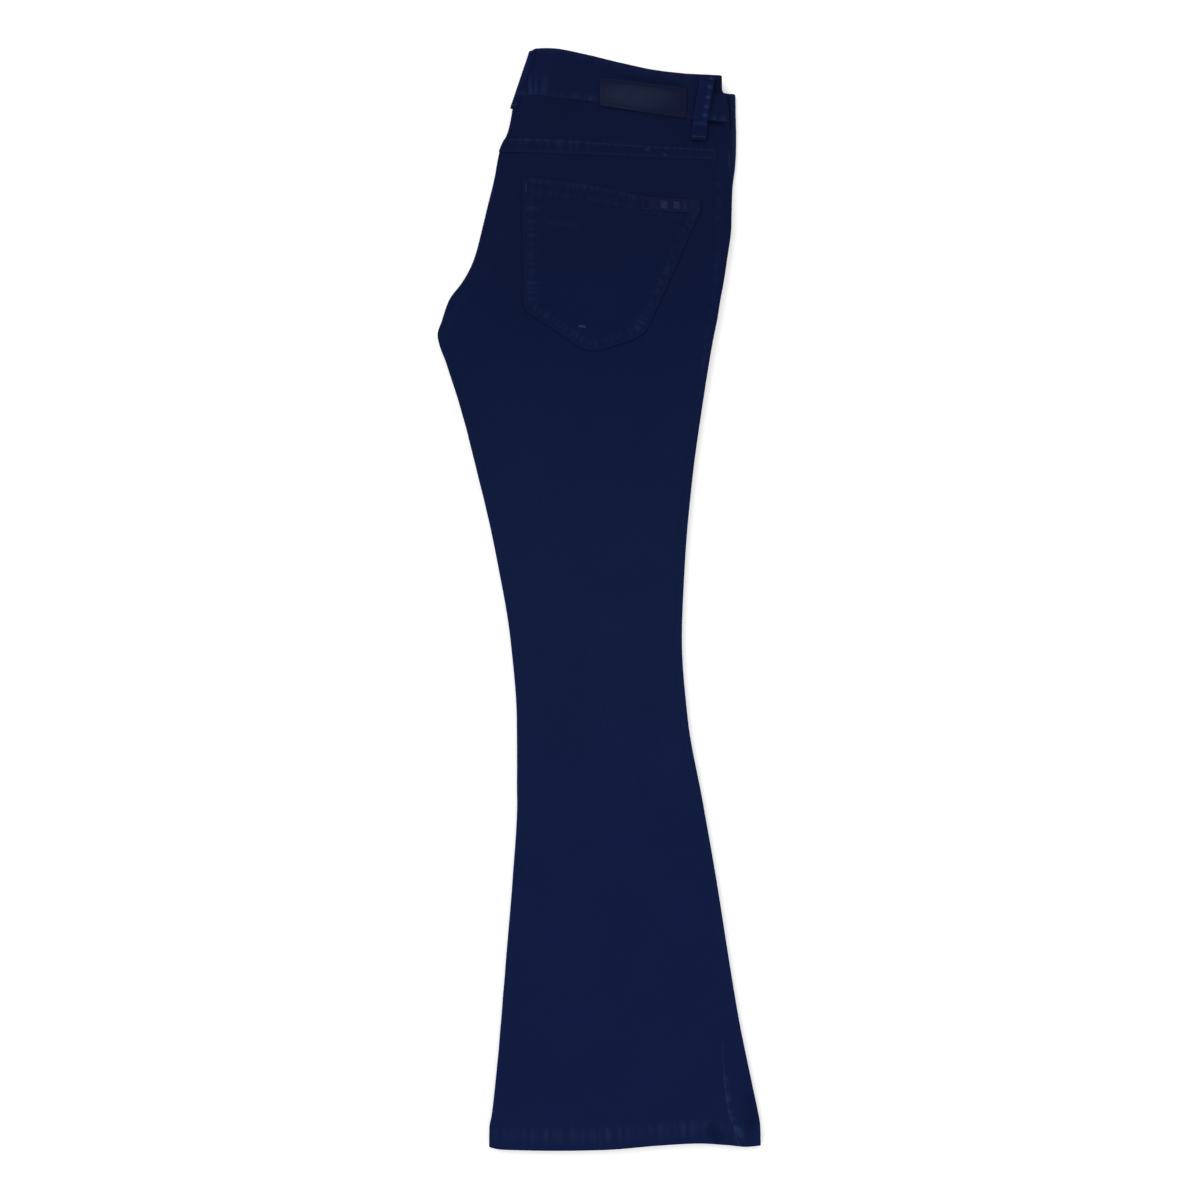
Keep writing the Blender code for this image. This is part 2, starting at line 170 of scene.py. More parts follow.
class Line:
    """A line of straight runs in the plan, measured along its length."""

    NEAR = 0.15  # a moved point may lie this much nearer the line than it was moved

    def __init__(self, points: Sequence[Point] | Array) -> None:
        """Keep the points, and find each run's length and start.

        Args:
            points: the line's X-Y points, in order.
        """
        self.points = np.asarray(points, float)
        self.lengths = np.hypot(*np.diff(self.points, axis=0).T)
        self.starts = np.concatenate([[0.0], np.cumsum(self.lengths)])

    def resampled(self, step: float) -> "Line":
        """The same line with points at an even step.

        Args:
            step: about how far apart the points are.

        Returns:
            The new line.
        """
        end = self.starts[-1]
        along = np.linspace(0.0, end, max(int(round(end / step)), 2) + 1)
        return Line(np.stack([np.interp(along, self.starts, p) for p in self.points.T], -1))

    def beside(self, distance: float) -> "Line":
        """The line moved to its left, less the points that come too near it.

        Args:
            distance: how far it moves, below zero to the right.

        Returns:
            The moved line.
        """
        run = np.gradient(self.points, axis=0)
        run /= np.linalg.norm(run, axis=1, keepdims=True)
        moved = self.points + np.stack([-run[:, 1], run[:, 0]], axis=1) * distance
        across = self.project(*moved.T)[1]
        return Line(moved[np.abs(across) > abs(distance) - self.NEAR])

    def project(self, x: Array, y: Array) -> tuple[Array, Array]:
        """Where points lie beside the line.

        Args:
            x: X of the points.
            y: Y of the points, in the same shape.

        Returns:
            The distance along the line to the nearest point on it, and the distance across,
            which is above zero on the line's left.
        """
        spots = np.stack([np.ravel(x), np.ravel(y)], axis=1)
        best = np.full(len(spots), np.inf)
        along, across = np.zeros(len(spots)), np.zeros(len(spots))
        for i, length in enumerate(self.lengths):
            run = (self.points[i + 1] - self.points[i]) / length
            offset = spots - self.points[i]
            reach = np.clip(offset @ run, 0.0, length)
            distance = np.hypot(*(offset - reach[:, None] * run).T)
            side = np.where(run[0] * offset[:, 1] - run[1] * offset[:, 0] < 0.0, -1.0, 1.0)
            nearer = distance < best
            best[nearer] = distance[nearer]
            along[nearer] = self.starts[i] + reach[nearer]
            across[nearer] = (distance * side)[nearer]
        return along.reshape(np.shape(x)), across.reshape(np.shape(x))


# --------------------------------------------------------------------------------- the relief


@dataclass(frozen=True)
class Crease:
    """One soft trough or ridge from start to end, tapered to nothing at both ends."""

    start: Point
    end: Point
    width: float
    height: float
    bow: float = 0.0

    def lift(self, x: Array, y: Array) -> Array:
        """Height over the flat cloth.

        Args:
            x: X of the points.
            y: Y of the points.

        Returns:
            The height at each point, below zero in a trough.
        """
        run = np.subtract(self.end, self.start)
        length = float(np.hypot(*run))
        run = run / length
        along = ((x - self.start[0]) * run[0] + (y - self.start[1]) * run[1]) / length
        across = (y - self.start[1]) * run[0] - (x - self.start[0]) * run[1]
        across = across - self.bow * np.sin(math.pi * np.clip(along, 0.0, 1.0))
        taper = soft_step(along / 0.35 + 0.1) * soft_step((1.0 - along) / 0.35 + 0.1)
        return self.height * taper * bell(across, self.width)


@dataclass(frozen=True)
class Swell:
    """Slow unevenness of cloth that isn't pressed, as a few crossing waves."""

    height: float
    length: float
    seed: float

    WAVES = ((0.3, 1.0), (1.25, 0.73), (2.2, 1.37), (2.75, 0.52))  # angle and share of length

    def lift(self, x: Array, y: Array) -> Array:
        """Height over the flat cloth.

        Args:
            x: X of the points.
            y: Y of the points.

        Returns:
            The height at each point.
        """
        total = np.zeros_like(x)
        for k, (turn, scale) in enumerate(self.WAVES):
            way = x * math.cos(turn + self.seed) + y * math.sin(turn + self.seed)
            total += np.sin(2.0 * math.pi * way / (self.length * scale) + 1.7 * k + self.seed)
        return self.height * total / 2.5


@dataclass(frozen=True)
class Puckers:
    """Small ridges across a row of stitches, uneven in spacing and in height."""

    line: Line
    pitch: float
    height: float
    left: float
    right: float
    seed: float
    start: float = 0.0
    end: float = 1e6

    def lift(self, x: Array, y: Array) -> Array:
        """Height over the flat cloth.

        Args:
            x: X of the points.
            y: Y of the points.

        Returns:
            The height at each point, which fades out on both sides of the row.
        """
        along, across = self.line.project(x, y)
        turns = along / self.pitch + 0.21 * np.sin(along / (0.43 * self.pitch) + 3.1 * self.seed)
        turns += 0.35 * np.sin(along / (1.9 * self.pitch) + self.seed)
        crest = 0.5 + 0.5 * np.cos(2.0 * math.pi * turns)
        uneven = 0.75 + 0.25 * np.sin(along / (1.3 * self.pitch) + 5.3 * self.seed)
        fade = bell(across, np.where(across > 0.0, self.left, self.right))
        inside = soft_step((along - self.start) / 6.0) * soft_step((self.end - along) / 6.0)
        return self.height * crest**1.3 * uneven * fade * inside


@dataclass(frozen=True)
class Ridge:
    """A narrow roll along a line, or below zero a trough such as a row of stitches presses in."""

    line: Line
    width: float
    height: float
    start: float = 0.0

    def lift(self, x: Array, y: Array) -> Array:
        """Height over the flat cloth.

        Args:
            x: X of the points.
            y: Y of the points.

        Returns:
            The height at each point.
        """
        along, across = self.line.project(x, y)
        inside = soft_step((along - self.start) / 4.0 + 0.5)
        return self.height * inside * bell(across, self.width)


Feature = Crease | Swell | Puckers | Ridge


class Relief:
    """All the ridges and troughs of one piece of cloth, with the wear of their tops and the painted
    shade of some troughs.
    """

    def __init__(self) -> None:
        """Start with smooth cloth."""
        self.features: list[tuple[Feature, float]] = []

    def add(self, feature: Feature, wear: float = 0.0) -> None:
        """Add a feature, whose tops are worn by a share from 0 to 1; a share below 0 paints shade
        into it instead.
        """
        self.features.append((feature, wear))

    def creases(self, *rows: tuple[float, ...]) -> None:
        """Add creases.

        Args:
            rows: start, end, width and height of each, with its bow and its wear if any, which
                below zero is painted shade.
        """
        for x1, y1, x2, y2, width, height, *rest in rows:
            bow, wear = (*rest, 0.0, 0.0)[:2]
            self.add(Crease((x1, y1), (x2, y2), width, height, bow), wear)

    def puckers(self, line: Line, *rows: tuple[float, ...]) -> None:
        """Add puckers, each as pitch, height, left and right reach, seed, wear and any span."""
        for pitch, height, left, right, seed, wear, *span in rows:
            self.add(Puckers(line, pitch, height, left, right, seed, *span), wear)

    def troughs(self, *lines: Line, width: float = 0.7, height: float = -0.15) -> None:
        """Add the troughs that rows of stitches press in."""
        for line in lines:
            self.add(Ridge(line, width, height))

    def lift(self, x: Array, y: Array) -> Array:
        """Height of all the features together at each point."""
        return sum((feature.lift(x, y) for feature, _ in self.features), np.zeros_like(x))

    def wear(self, x: Array, y: Array) -> Array:
        """How worn the cloth is, and how much shade is painted on it.

        Args:
            x: X of the points.
            y: Y of the points.

        Returns:
            The wear at each point, up to 1, and painted shade below 0, down to -1 where it is
            darkest.
        """
        total = np.zeros_like(x)
        for feature, share in self.features:
            if share:
                crest = feature.lift(x, y) / feature.height
                total = total + share * np.clip((crest - 0.12) / 0.7, 0.0, 1.0)
        return np.clip(total, -1.0, 1.0)


# ------------------------------------------------------------------------- the form of the pile

BAND_HEAD, BAND_FOOT, YOKE_FOOT, HEM_HEAD, HEM_EDGE = 550.8, 504.2, 448.0, -529.0, -548.0

# Lines across the folded jeans, from the waistband's top edge down to the hem: y of the inner
# end, how much lower the outer end is, how much lower still the under half's is, X of the inner
# end, of the outer one and of the under half's, the outseam's distance from the outer edge, and
# the width over which the cloth thickens beside the centre-back fold.
ROWS = (
    (BAND_HEAD, 28.3, 17.9, -68.7, 122.4, 136.3, 14, 30),
    (537.5, 28, 14.9, -73.2, 122.9, 136.6, 14, 30),
    (529.5, 27.8, 13.1, -75.9, 127, 136.7, 14, 30),
    (BAND_FOOT, 27, 7.5, -84.4, 129.8, 137.2, 14, 30),
    (469, 14, 7, -91.6, 130.3, 137, 14, 30),
    (YOKE_FOOT, 9, 6, -100.4, 130.8, 136.1, 14, 30),
    (421, 6, 4, -105.6, 132, 133.5, 15, 29),
    (379, 3, 2, -115.8, 132.1, 132.1, 15, 27),
    (339, 1, 0, -126.5, 127.5, 127.5, 11.5, 25),
    (319, 0, 0, -136.6, 124.7, 124.7, 10, 22),
    (299, 0, 0, -151, 121, 121, 9.5, 19),
    (279, 0, 0, -157.9, 117.8, 117.8, 9.5, 16),
    (265, 0, 0, -162.3, 114.9, 114.9, 9.5, 12),
    (254, 0, 0, -160, 112.8, 112.8, 8.5, 10),
    (239, 0, 0, -154.3, 110.2, 110.2, 7.5, 10),
    (199, 0, 0, -141.4, 103.9, 103.9, 6.5, 10),
    (119, 0, 0, -120.2, 92.9, 92.9, 7, 10),
    (39, 0, 0, -102.7, 85.8, 85.8, 8, 10),
    (-41, 0, 0, -89.2, 82.6, 82.6, 8, 10),
    (-121, 0, 0, -82.9, 88.6, 88.6, 8, 10),
    (-201, 0, 0, -82.5, 103.1, 103.1, 8, 10),
    (-281, 0, 0, -87.1, 117.1, 117.1, 9, 10),
    (-361, 0, 0, -93.7, 129.7, 129.7, 11, 10),
    (-421, 0, 0, -98.2, 139.6, 139.6, 17, 10),
    (-481, 0, 0, -104, 151.7, 151.7, 26, 10),
    (-517, 0, 0, -108.1, 159.2, 159.2, 29, 10),
    (HEM_HEAD, 0, 0, -110.3, 161.1, 161.1, 26, 10),
    (HEM_EDGE, 0, 0, -110.6, 161.5, 161.5, 22, 10),
)

# Rows that the outseam is drawn through, at the hip and by the hem.
HIP_SEAM = (444, 421, 400, 379, 358, 339, 319, 299, 265, 239, 204)
LOW_SEAM = (-410, -440, -481, -503, -517, HEM_HEAD, -547)

# How far each curved edge lies above the straight line between its ends, by share of the way.
TOP_WAVE = Curve(
    (0.0, 0.03, 0.13, 0.3, 0.46, 0.65, 0.8, 0.92, 1.0),
    (-2.0, 0.6, 2.5, 0.7, -2.2, -4.5, -3.6, -1.5, 0.0),
)
WAIST_WAVE = Curve((0.0, 0.14, 0.37, 0.5, 0.65, 0.84, 1.0), (0.0, 3.4, 3.4, 0.9, -1.6, -1.1, 0.0))
HEM_WAVE = Curve(
    (0.0, 0.05, 0.25, 0.42, 0.63, 0.77, 0.88, 0.94, 1.0),
    (0.0, -2.4, -3.4, -2.6, 2.0, 3.9, 2.2, 0.6, 1.8),
)
# How far a row follows each of those edges, by its y.
TOP_WEIGHT = Curve((BAND_FOOT, BAND_HEAD), (0.0, 1.0))
WAIST_WEIGHT = Curve((YOKE_FOOT, 469.0, BAND_FOOT, BAND_HEAD), (0.0, 0.4, 1.0, 0.0))
HEM_WEIGHT = Curve((-361.0, -421.0, -481.0, -517.0, HEM_HEAD), (0.0, 0.2, 0.6, 0.9, 1.0))


@dataclass(frozen=True)
class Pile:
    """Heights of the folded cloth: the hips, the waistband, the folds and the gaps."""

    rest: float = 1.6
    hip_top: float = 12.6
    band_top: float = 13.6
    seat_radius: float = 3.2
    gap: float = 0.3

    @property
    def middle(self) -> float:
        """Height between the two halves at the waist."""
        return (self.rest + self.hip_top) / 2.0

    @property
    def band_fold(self) -> float:
        """Radius of the waistband at the centre-back fold."""
        return self.seat_radius + self.gap / 2.0


PILE = Pile()


class FoldedForm:
    """The plan and the heights of the folded jeans, without their ridges and troughs."""

    def __init__(self) -> None:
        """Make a curve down the leg for each column of the table, and for the heights."""
        y, *columns = np.array(ROWS).T
        curves = (Curve(y, column) for column in columns)
        self.drop, self.slip, self.inner, self.outer, self.under, self.seam, self.lead = curves
        levels = (254.0, 239.0, 199.0, 119.0, -41.0, -281.0, HEM_HEAD - 0.5, HEM_HEAD - 3.0)
        self.base = Curve(levels[:3], (PILE.rest, 1.2, 0.0))
        self.top = Curve(levels, (PILE.hip_top, 12.4, 11.6, 10.8, 10.0, 9.6, 9.6, 10.0))
        self.front_drop = Curve((300.0, BAND_FOOT, BAND_HEAD), (0.0, 30.0, 30.5))
        self.front_edge = Curve((252.0, 275.0, 320.0, BAND_FOOT), (0.0, 14.0, 26.0, 33.0))

    def edge(self, y: Array | float, half: Half) -> Array:
        """X of a half's outer edge at a row's y."""
        return self.outer(y) if half is Half.UPPER else self.under(y)

    def outseam(self, y: Array | float, half: Half) -> Array:
        """X of a half's outseam at a row's y."""
        return self.edge(y, half) - self.seam(y)

    def line_y(self, y: Array | float, x: Array, half: Half) -> Array:
        """Height in the plan of a row's line.

        Args:
            y: the row's y at its inner end.
            x: X of the points on the line.
            half: the half that the line lies on.

        Returns:
            The points' Y.
        """
        inner = self.inner(y)
        share = np.clip((x - inner) / (self.edge(y, half) - inner), 0.0, 1.0)
        slip = self.slip(y) * share if half is Half.UNDER else 0.0
        waves = TOP_WEIGHT(y) * TOP_WAVE(share) + WAIST_WEIGHT(y) * WAIST_WAVE(share)
        return y - self.drop(y) * share - slip + waves + HEM_WEIGHT(y) * HEM_WAVE(share)

    def lobe(self, y: Array | float) -> Array:
        """Radius of the folded edge of one leg's cloth."""
        return ((self.top(y) - self.base(y)) / 2.0 - PILE.gap / 2.0) / 2.0

    def fold(self, y: Array | float, half: Half) -> tuple[Array, Array]:
        """The roll of a back panel's inner edge.

        Args:
            y: y of the rows.
            half: the half that the panel belongs to.

        Returns:
            The roll's radius, and the height of its centre.
        """
        seat = soft_step((y - 256.0) / 14.0)
        radius = self.lobe(y) * (1.0 - seat) + PILE.seat_radius * seat
        if half is Half.UNDER:
            return radius, self.base(y) + radius
        leg = self.top(y) - self.lobe(y)
        return radius, leg * (1.0 - seat) + (self.base(y) + PILE.seat_radius + PILE.gap) * seat

    def face(self, x: Array, y: Array, half: Half) -> Array:
        """Height of a half's outer face over the plan, from its inner edge outwards.

        Args:
            x: X of the points.
            y: y of the points' rows.
            half: the half whose face it is.

        Returns:
            The face's height at each point.
        """
        if half is Half.UNDER:
            return self.base(y) + 0.0 * x
        radius, centre = self.fold(y, half)
        inner = self.inner(y)
        start, end = inner + radius, inner + self.lead(y)
        crown = centre + radius
        climb = crown + (self.top(y) - crown) * soft_step((x - start) / (end - start))
        sink = np.clip(start - x, 0.0, radius)
        return np.where(x < start, centre + np.sqrt(radius**2 - sink**2), climb)

    def band_face(self, x: Array, y: Array, half: Half) -> Array:
        """Height of the waistband's outer face over the plan.

        Args:
            x: X of the points.
            y: y of the points' rows.
            half: the half whose face it is.

        Returns:
            The face's height at each point.
        """
        if half is Half.UNDER:
            return PILE.rest + 0.0 * x
        start = self.inner(y) + PILE.band_fold
        crown = PILE.rest + 2.0 * PILE.band_fold
        climb = soft_step((x - start) / (self.lead(y) - PILE.band_fold))
        return crown + (PILE.band_top - crown) * climb

    def row_at(self, x: Array, y: Array, half: Half) -> Array:
        """The row whose line passes through each point.

        Args:
            x: X of the points.
            y: Y of the points.
            half: the half that they lie on.

        Returns:
            y of the rows.
        """
        row = y + 0.0 * x
        for _ in range(5):
            row = row + (y - self.line_y(row, x, half))
        return row

    def surface(self, x: Array, y: Array, half: Half) -> Array:
        """Height of a half's outer face at points in the plan."""
        return self.face(x, self.row_at(x, y, half), half)

    def band_surface(self, x: Array, y: Array) -> Array:
        """Height of the upper half's waistband at points in the plan."""
        return self.band_face(x, self.row_at(x, y, Half.UPPER), Half.UPPER)

    def row_line(self, y: float, half: Half, step: float, end: float | None = None) -> Line:
        """A row's line in the plan, from its inner end outwards.

        Args:
            y: the row's y.
            half: the half that it lies on.
            step: about how far apart its points are.
            end: X of its other end, the outer edge where it isn't given.

        Returns:
            The line.
        """
        start = float(self.inner(y))
        end = float(self.edge(y, half) if end is None else end)
        x = np.linspace(start, end, max(int(abs(end - start) / step), 2) + 1)
        return Line(np.stack([x, self.line_y(y, x, half)], axis=1))

    def outseam_line(self, half: Half, rows: Sequence[float]) -> Line:
        """A stretch of the outseam in the plan, through some rows from the top down.

        Args:
            half: the half that it lies on.
            rows: y of the rows.

        Returns:
            The line.
        """
        y = np.array(rows, float)
        x = self.outseam(y, half)
        return Line(np.stack([x, self.line_y(y, x, half)], axis=1))


FORM = FoldedForm()


def section(x: Array, z: Array) -> Array:
    """X-Z pairs of some rows, from their coordinates."""
    return np.stack(np.broadcast_arrays(x, z), axis=-1)


def arc(centre: Array, height: Array, radius: Array, start: float, end: float, steps: int) -> Array:
    """Points of an arc in the X-Z plane for each row.

    Args:
        centre: X of each row's centre, as a column.
        height: Z of each row's centre.
        radius: each row's radius.
        start: first angle in degrees from +X.
        end: last angle.
        steps: number of steps between them.

    Returns:
        An array of rows, columns and X-Z pairs.
    """
    angle = np.radians(np.linspace(start, end, steps + 1))
    return section(centre + radius * np.cos(angle), height + radius * np.sin(angle))


def stacked(x: Array, y: Array, z: Array) -> Array:
    """Points from their three coordinates."""
    return np.stack([x, y, z], axis=-1)


# ------------------------------------------------------------------------------------- finishes


class Shader:
    """One material's node tree, with short calls to add and join nodes."""

    # Scale of a wave pattern that makes its bands 1 unit wide, by the way they run.
    BANDS = {"X": 0.314, "Y": 0.314, "DIAGONAL": 0.444}

    def __init__(self, name: str) -> None:
        """Start a material with a Principled shader.

        Args:
            name: the material's name.
        """
        self.material = bpy.data.materials.new(name)
        self.material.use_nodes = True
        self.tree = self.material.node_tree

    def put(self, socket: Socket, value: object) -> None:
        """Link a socket to an output, or set its value.

        Args:
            socket: the socket.
            value: another node's output, or a plain value.
        """
        if isinstance(value, Socket):
            self.tree.links.new(value, socket)
        else:
            socket.default_value = value

    def node(self, kind: str, inputs: dict, **settings: object) -> bpy.types.Node:
        """A new node.

        Args:
            kind: its type, without the leading ShaderNode.
            inputs: what goes into its sockets, by their names or numbers.
            settings: its other settings.

        Returns:
            The node.
        """
        made = self.tree.nodes.new("ShaderNode" + kind)
        for name, value in settings.items():
            setattr(made, name, value)
        for name, value in inputs.items():
            self.put(made.inputs[name], value)
        return made

    def maths(self, operation: str, *values: object) -> Socket:
        """The result of a Math node."""
        return self.node("Math", dict(enumerate(values)), operation=operation).outputs[0]

    def sloped(self, value: object, gain: object, base: object) -> Socket:
        """A value times a gain, plus a base."""
        return self.maths("MULTIPLY_ADD", value, gain, base)

    def noise(self, vector: Socket, scale: float, detail: float = 2.0) -> Socket:
        """A noise pattern from 0 to 1."""
        inputs = {"Vector": vector, "Scale": scale, "Detail": detail}
        return self.node("TexNoise", inputs).outputs["Fac"]

    def bands(self, vector: Socket, way: str, width: float, wander: float) -> Socket:
        """Bands of a wave pattern.

        Args:
            vector: the coordinates that they run over.
            way: the way that they run.
            width: width of one band.
            wander: how far they stray.

        Returns:
            The pattern, from 0 to 1.
        """
        scale = self.BANDS[way] / width
        inputs = {"Vector": vector, "Scale": scale, "Distortion": wander, "Detail": 1.0}
        node = self.node("TexWave", inputs, wave_type="BANDS", bands_direction=way)
        return node.outputs["Fac"]

    def stretched(self, vector: Socket, scale: Triple) -> Socket:
        """Coordinates scaled by a different amount along each axis."""
        return self.node("Mapping", {"Vector": vector, "Scale": scale}).outputs["Vector"]

    def scaled(self, vector: object, factor: object) -> Socket:
        """Coordinates, or a colour, times a factor."""
        return self.node("VectorMath", {0: vector, "Scale": factor}, operation="SCALE").outputs[0]

    def threads(self) -> Socket:
        """The cloth's own coordinates in millimetres, X along the weft and Y along the warp."""
        return self.scaled(self.node("UVMap", {}, uv_map="cloth").outputs["UV"], 1.0 / MM)

    def place(self) -> Socket:
        """The point's place on the whole garment, in metres."""
        return self.node("TexCoord", {}).outputs["Object"]

    def blend(self, share: object, first: object, second: object) -> Socket:
        """A mix of two colours."""
        return self.node("Mix", {0: share, 6: first, 7: second}, data_type="RGBA").outputs[2]

    def wear(self) -> Socket:
        """The wear that the mesh carries, up to 1, with its painted shade below 0, down to -1, and
        painted light on the under half.
        """
        return self.node("Attribute", {}, attribute_name="wear").outputs["Fac"]

    def dressed(
        self, colour: Socket, bump: tuple[Socket, float, float] | None, **sockets: object
    ) -> bpy.types.Material:
        """The finished material.

        Args:
            colour: its base colour.
            bump: height, strength and depth in millimetres of its bump, if it has one.
            sockets: what goes into the shader's other sockets, named with _ for a space.

        Returns:
            The material.
        """
        shader = self.tree.nodes["Principled BSDF"]
        self.put(shader.inputs["Base Color"], colour)
        if bump:
            height, strength, depth = bump
            inputs = {"Strength": strength, "Distance": depth * MM, "Height": height}
            self.put(shader.inputs["Normal"], self.node("Bump", inputs).outputs["Normal"])
        for name, value in sockets.items():
            self.put(shader.inputs[name.replace("_", " ")], value)
        return self.material


@dataclass(frozen=True)
class Denim:
    """Stretch twill dyed very dark navy, a little lighter towards the hem and where it rubs, with
    the painted light and shade that the mesh carries.
    """

    name: str = "denim_twill"
    calf: Triple = (0.0044, 0.0095, 0.0442)
    knee: Triple = (0.0045, 0.0103, 0.0412)
    thigh: Triple = (0.0039, 0.0081, 0.0353)
    seat: Triple = (0.0033, 0.0070, 0.0325)
    waist: Triple = (0.0032, 0.0060, 0.0278)
    worn: Triple = (0.0168, 0.0300, 0.0850)
    shade: float = 1.0
    rib: float = 0.85  # width of a twill rib in millimetres
    rib_contrast: float = 0.22
    streak_contrast: float = 0.16
    cloud_contrast: float = 0.09

    PLACES = (0.28, 0.48, 0.66, 0.75, 0.93)  # shares of the length that the five tones stand at

    def material(self) -> bpy.types.Material:
        """The finish as a material.

        Returns:
            A Principled material with the twill's ribs, streaks, clouds, wear, and painted light
            and shade.
        """
        shader = Shader(self.name)
        threads, place = shader.threads(), shader.place()
        ribs = shader.bands(threads, "DIAGONAL", self.rib, 0.8)
        picks = shader.bands(threads, "Y", 0.7 * self.rib, 1.2)
        streaks = shader.noise(shader.stretched(threads, (1.3, 0.07, 1.0)), 1.0, 3.0)
        clouds, fuzz = shader.noise(place, 16.0, 3.0), shader.noise(threads, 2.6)

        factor = shader.sloped(ribs, self.rib_contrast, 1.0 - self.rib_contrast / 2)
        for pattern, contrast in ((streaks, self.streak_contrast), (clouds, self.cloud_contrast)):
            tone = shader.sloped(pattern, contrast * 2.0, 1.0 - contrast)
            factor = shader.maths("MULTIPLY", factor, tone)
        factor = shader.maths("MULTIPLY", factor, self.shade)
        wear = shader.wear()
        # Wear below zero is painted shade: it darkens the colour by up to a half.
        dark = shader.sloped(shader.maths("MINIMUM", wear, 0.0), 0.5, 1.0)
        colour = shader.scaled(shader.scaled(self.wash(shader, place), factor), dark)
        # Wear above zero blends towards the worn colour; on the under half it also holds painted
        # light.
        rubbed = shader.maths("MULTIPLY", wear, shader.maths("ADD", 0.35, fuzz))
        rubbed = shader.maths("MAXIMUM", rubbed, 0.0)
        height = shader.sloped(ribs, 0.7, shader.maths("MULTIPLY", picks, 0.25))
        return shader.dressed(
            shader.blend(rubbed, colour, (*self.worn, 1.0)),
            (shader.sloped(fuzz, 0.5, height), 0.35, 0.22),
            Roughness=shader.sloped(streaks, 0.14, 0.8),
            Specular_IOR_Level=0.03,
            Sheen_Weight=0.004,
            Sheen_Roughness=0.4,
        )

    def wash(self, shader: Shader, place: Socket) -> Socket:
        """The dye's tone along the leg.

        Args:
            shader: the material's node tree.
            place: the point's place on the garment.

        Returns:
            The colour before ribs, streaks, clouds and wear.
        """
        apart = shader.node("SeparateXYZ", {0: place})
        ramp = shader.node("ValToRGB", {"Fac": shader.sloped(apart.outputs["Y"], 0.9, 0.5)})
        stops = ramp.color_ramp.elements
        for share in self.PLACES[1:-1]:
            stops.new(share)
        tones = (self.calf, self.knee, self.thigh, self.seat, self.waist)
        for stop, share, tone in zip(stops, self.PLACES, tones):
            stop.position, stop.color = share, (*tone, 1.0)
        return ramp.outputs["Color"]


@dataclass(frozen=True)
class Thread:
    """Twisted sewing thread, a tone lighter than the cloth."""

    name: str
    colour: Triple
    rubbed: Triple
    twist: float = 0.45  # length of one turn in millimetres

    def material(self) -> bpy.types.Material:
        """The finish as a material.

        Returns:
            A Principled material with the thread's turns.
        """
        shader = Shader(self.name)
        place = shader.place()
        turns = shader.bands(place, "DIAGONAL", self.twist * MM, 0.5)
        clouds = shader.noise(place, 60.0)
        factor = shader.sloped(turns, 0.35, 0.68)
        factor = shader.maths("MULTIPLY", factor, shader.sloped(clouds, 0.5, 0.75))
        tone = shader.blend(shader.wear(), (*self.colour, 1.0), (*self.rubbed, 1.0))
        rough = shader.maths("ADD", 0.52, clouds)
        return shader.dressed(
            shader.scaled(tone, factor),
            (turns, 0.4, 0.08),
            Roughness=rough,
            Specular_IOR_Level=0.06,
        )


@dataclass(frozen=True)
class Leather:
    """Dark grey-blue leather, paler round a spot left of its middle, with a fine grain."""

    name: str = "patch_leather"
    dark: Triple = (0.0036, 0.0066, 0.0258)
    pale: Triple = (0.0098, 0.0143, 0.0368)
    rubbed: Point = (34.0, 503.5)  # middle of the paler place
    spread: Triple = (0.6, 1.6, 0.0)  # how fast it fades along each axis
    grain: float = 0.9

    def material(self) -> bpy.types.Material:
        """The finish as a material.

        Returns:
            A Principled material with grain, pores, a paler place left of the middle, and painted
            shade.
        """
        shader = Shader(self.name)
        place = shader.place()
        inputs = {"Vector": place, "Scale": 1.0 / (self.grain * MM)}
        cells = shader.node("TexVoronoi", inputs, feature="DISTANCE_TO_EDGE").outputs[0]
        grain = shader.maths("MINIMUM", shader.maths("MULTIPLY", cells, 3.0), 1.0)
        clouds = shader.noise(place, 90.0, 3.0)
        centre = [share * v * MM for share, v in zip(self.spread, (*self.rubbed, 0.0))]
        inputs = {0: shader.stretched(place, self.spread), 1: centre}
        away = shader.node("VectorMath", inputs, operation="DISTANCE").outputs["Value"]
        inputs = {"Value": away, "From Min": 0.034, "From Max": 0.004}
        near = shader.node("MapRange", inputs, interpolation_type="SMOOTHSTEP").outputs["Result"]
        pale_share = shader.maths("MULTIPLY", near, shader.maths("ADD", clouds, 0.45))
        # The wear attribute adds the edge's wear, and painted shade along the patch's top edge.
        pale_share = shader.sloped(shader.wear(), 0.5, pale_share)
        tone = shader.blend(pale_share, (*self.dark, 1.0), (*self.pale, 1.0))
        return shader.dressed(
            shader.scaled(tone, shader.sloped(grain, 0.22, 0.82)),
            (shader.sloped(clouds, 0.4, grain), 0.45, 0.15),
            Roughness=shader.sloped(clouds, 0.25, 0.42),
            Specular_IOR_Level=0.045,
        )


@dataclass(frozen=True)
class WovenTape:
    """Dark woven tape with a fine plain weave."""

    name: str = "woven_tape"
    colour: Triple = (0.0037, 0.0066, 0.0345)
    worn: Triple = (0.020, 0.025, 0.055)
    pitch: float = 0.45

    def material(self) -> bpy.types.Material:
        """The finish as a material.

        Returns:
            A Principled material with the tape's weave.
        """
        shader = Shader(self.name)
        threads = shader.threads()
        warp, weft = (shader.bands(threads, way, self.pitch, 0.3) for way in "XY")
        weave, clouds = shader.maths("MULTIPLY", warp, weft), shader.noise(threads, 0.25)
        factor = shader.sloped(weave, 0.5, 0.75)
        factor = shader.maths("MULTIPLY", factor, shader.sloped(clouds, 0.4, 0.8))
        rubbed = shader.maths("MULTIPLY", shader.wear(), 0.6)
        tone = shader.blend(rubbed, (*self.colour, 1.0), (*self.worn, 1.0))
        rough = shader.maths("ADD", 0.3, clouds)
        return shader.dressed(
            shader.scaled(tone, factor),
            (weave, 0.5, 0.12),
            Roughness=rough,
            Specular_IOR_Level=0.06,
        )


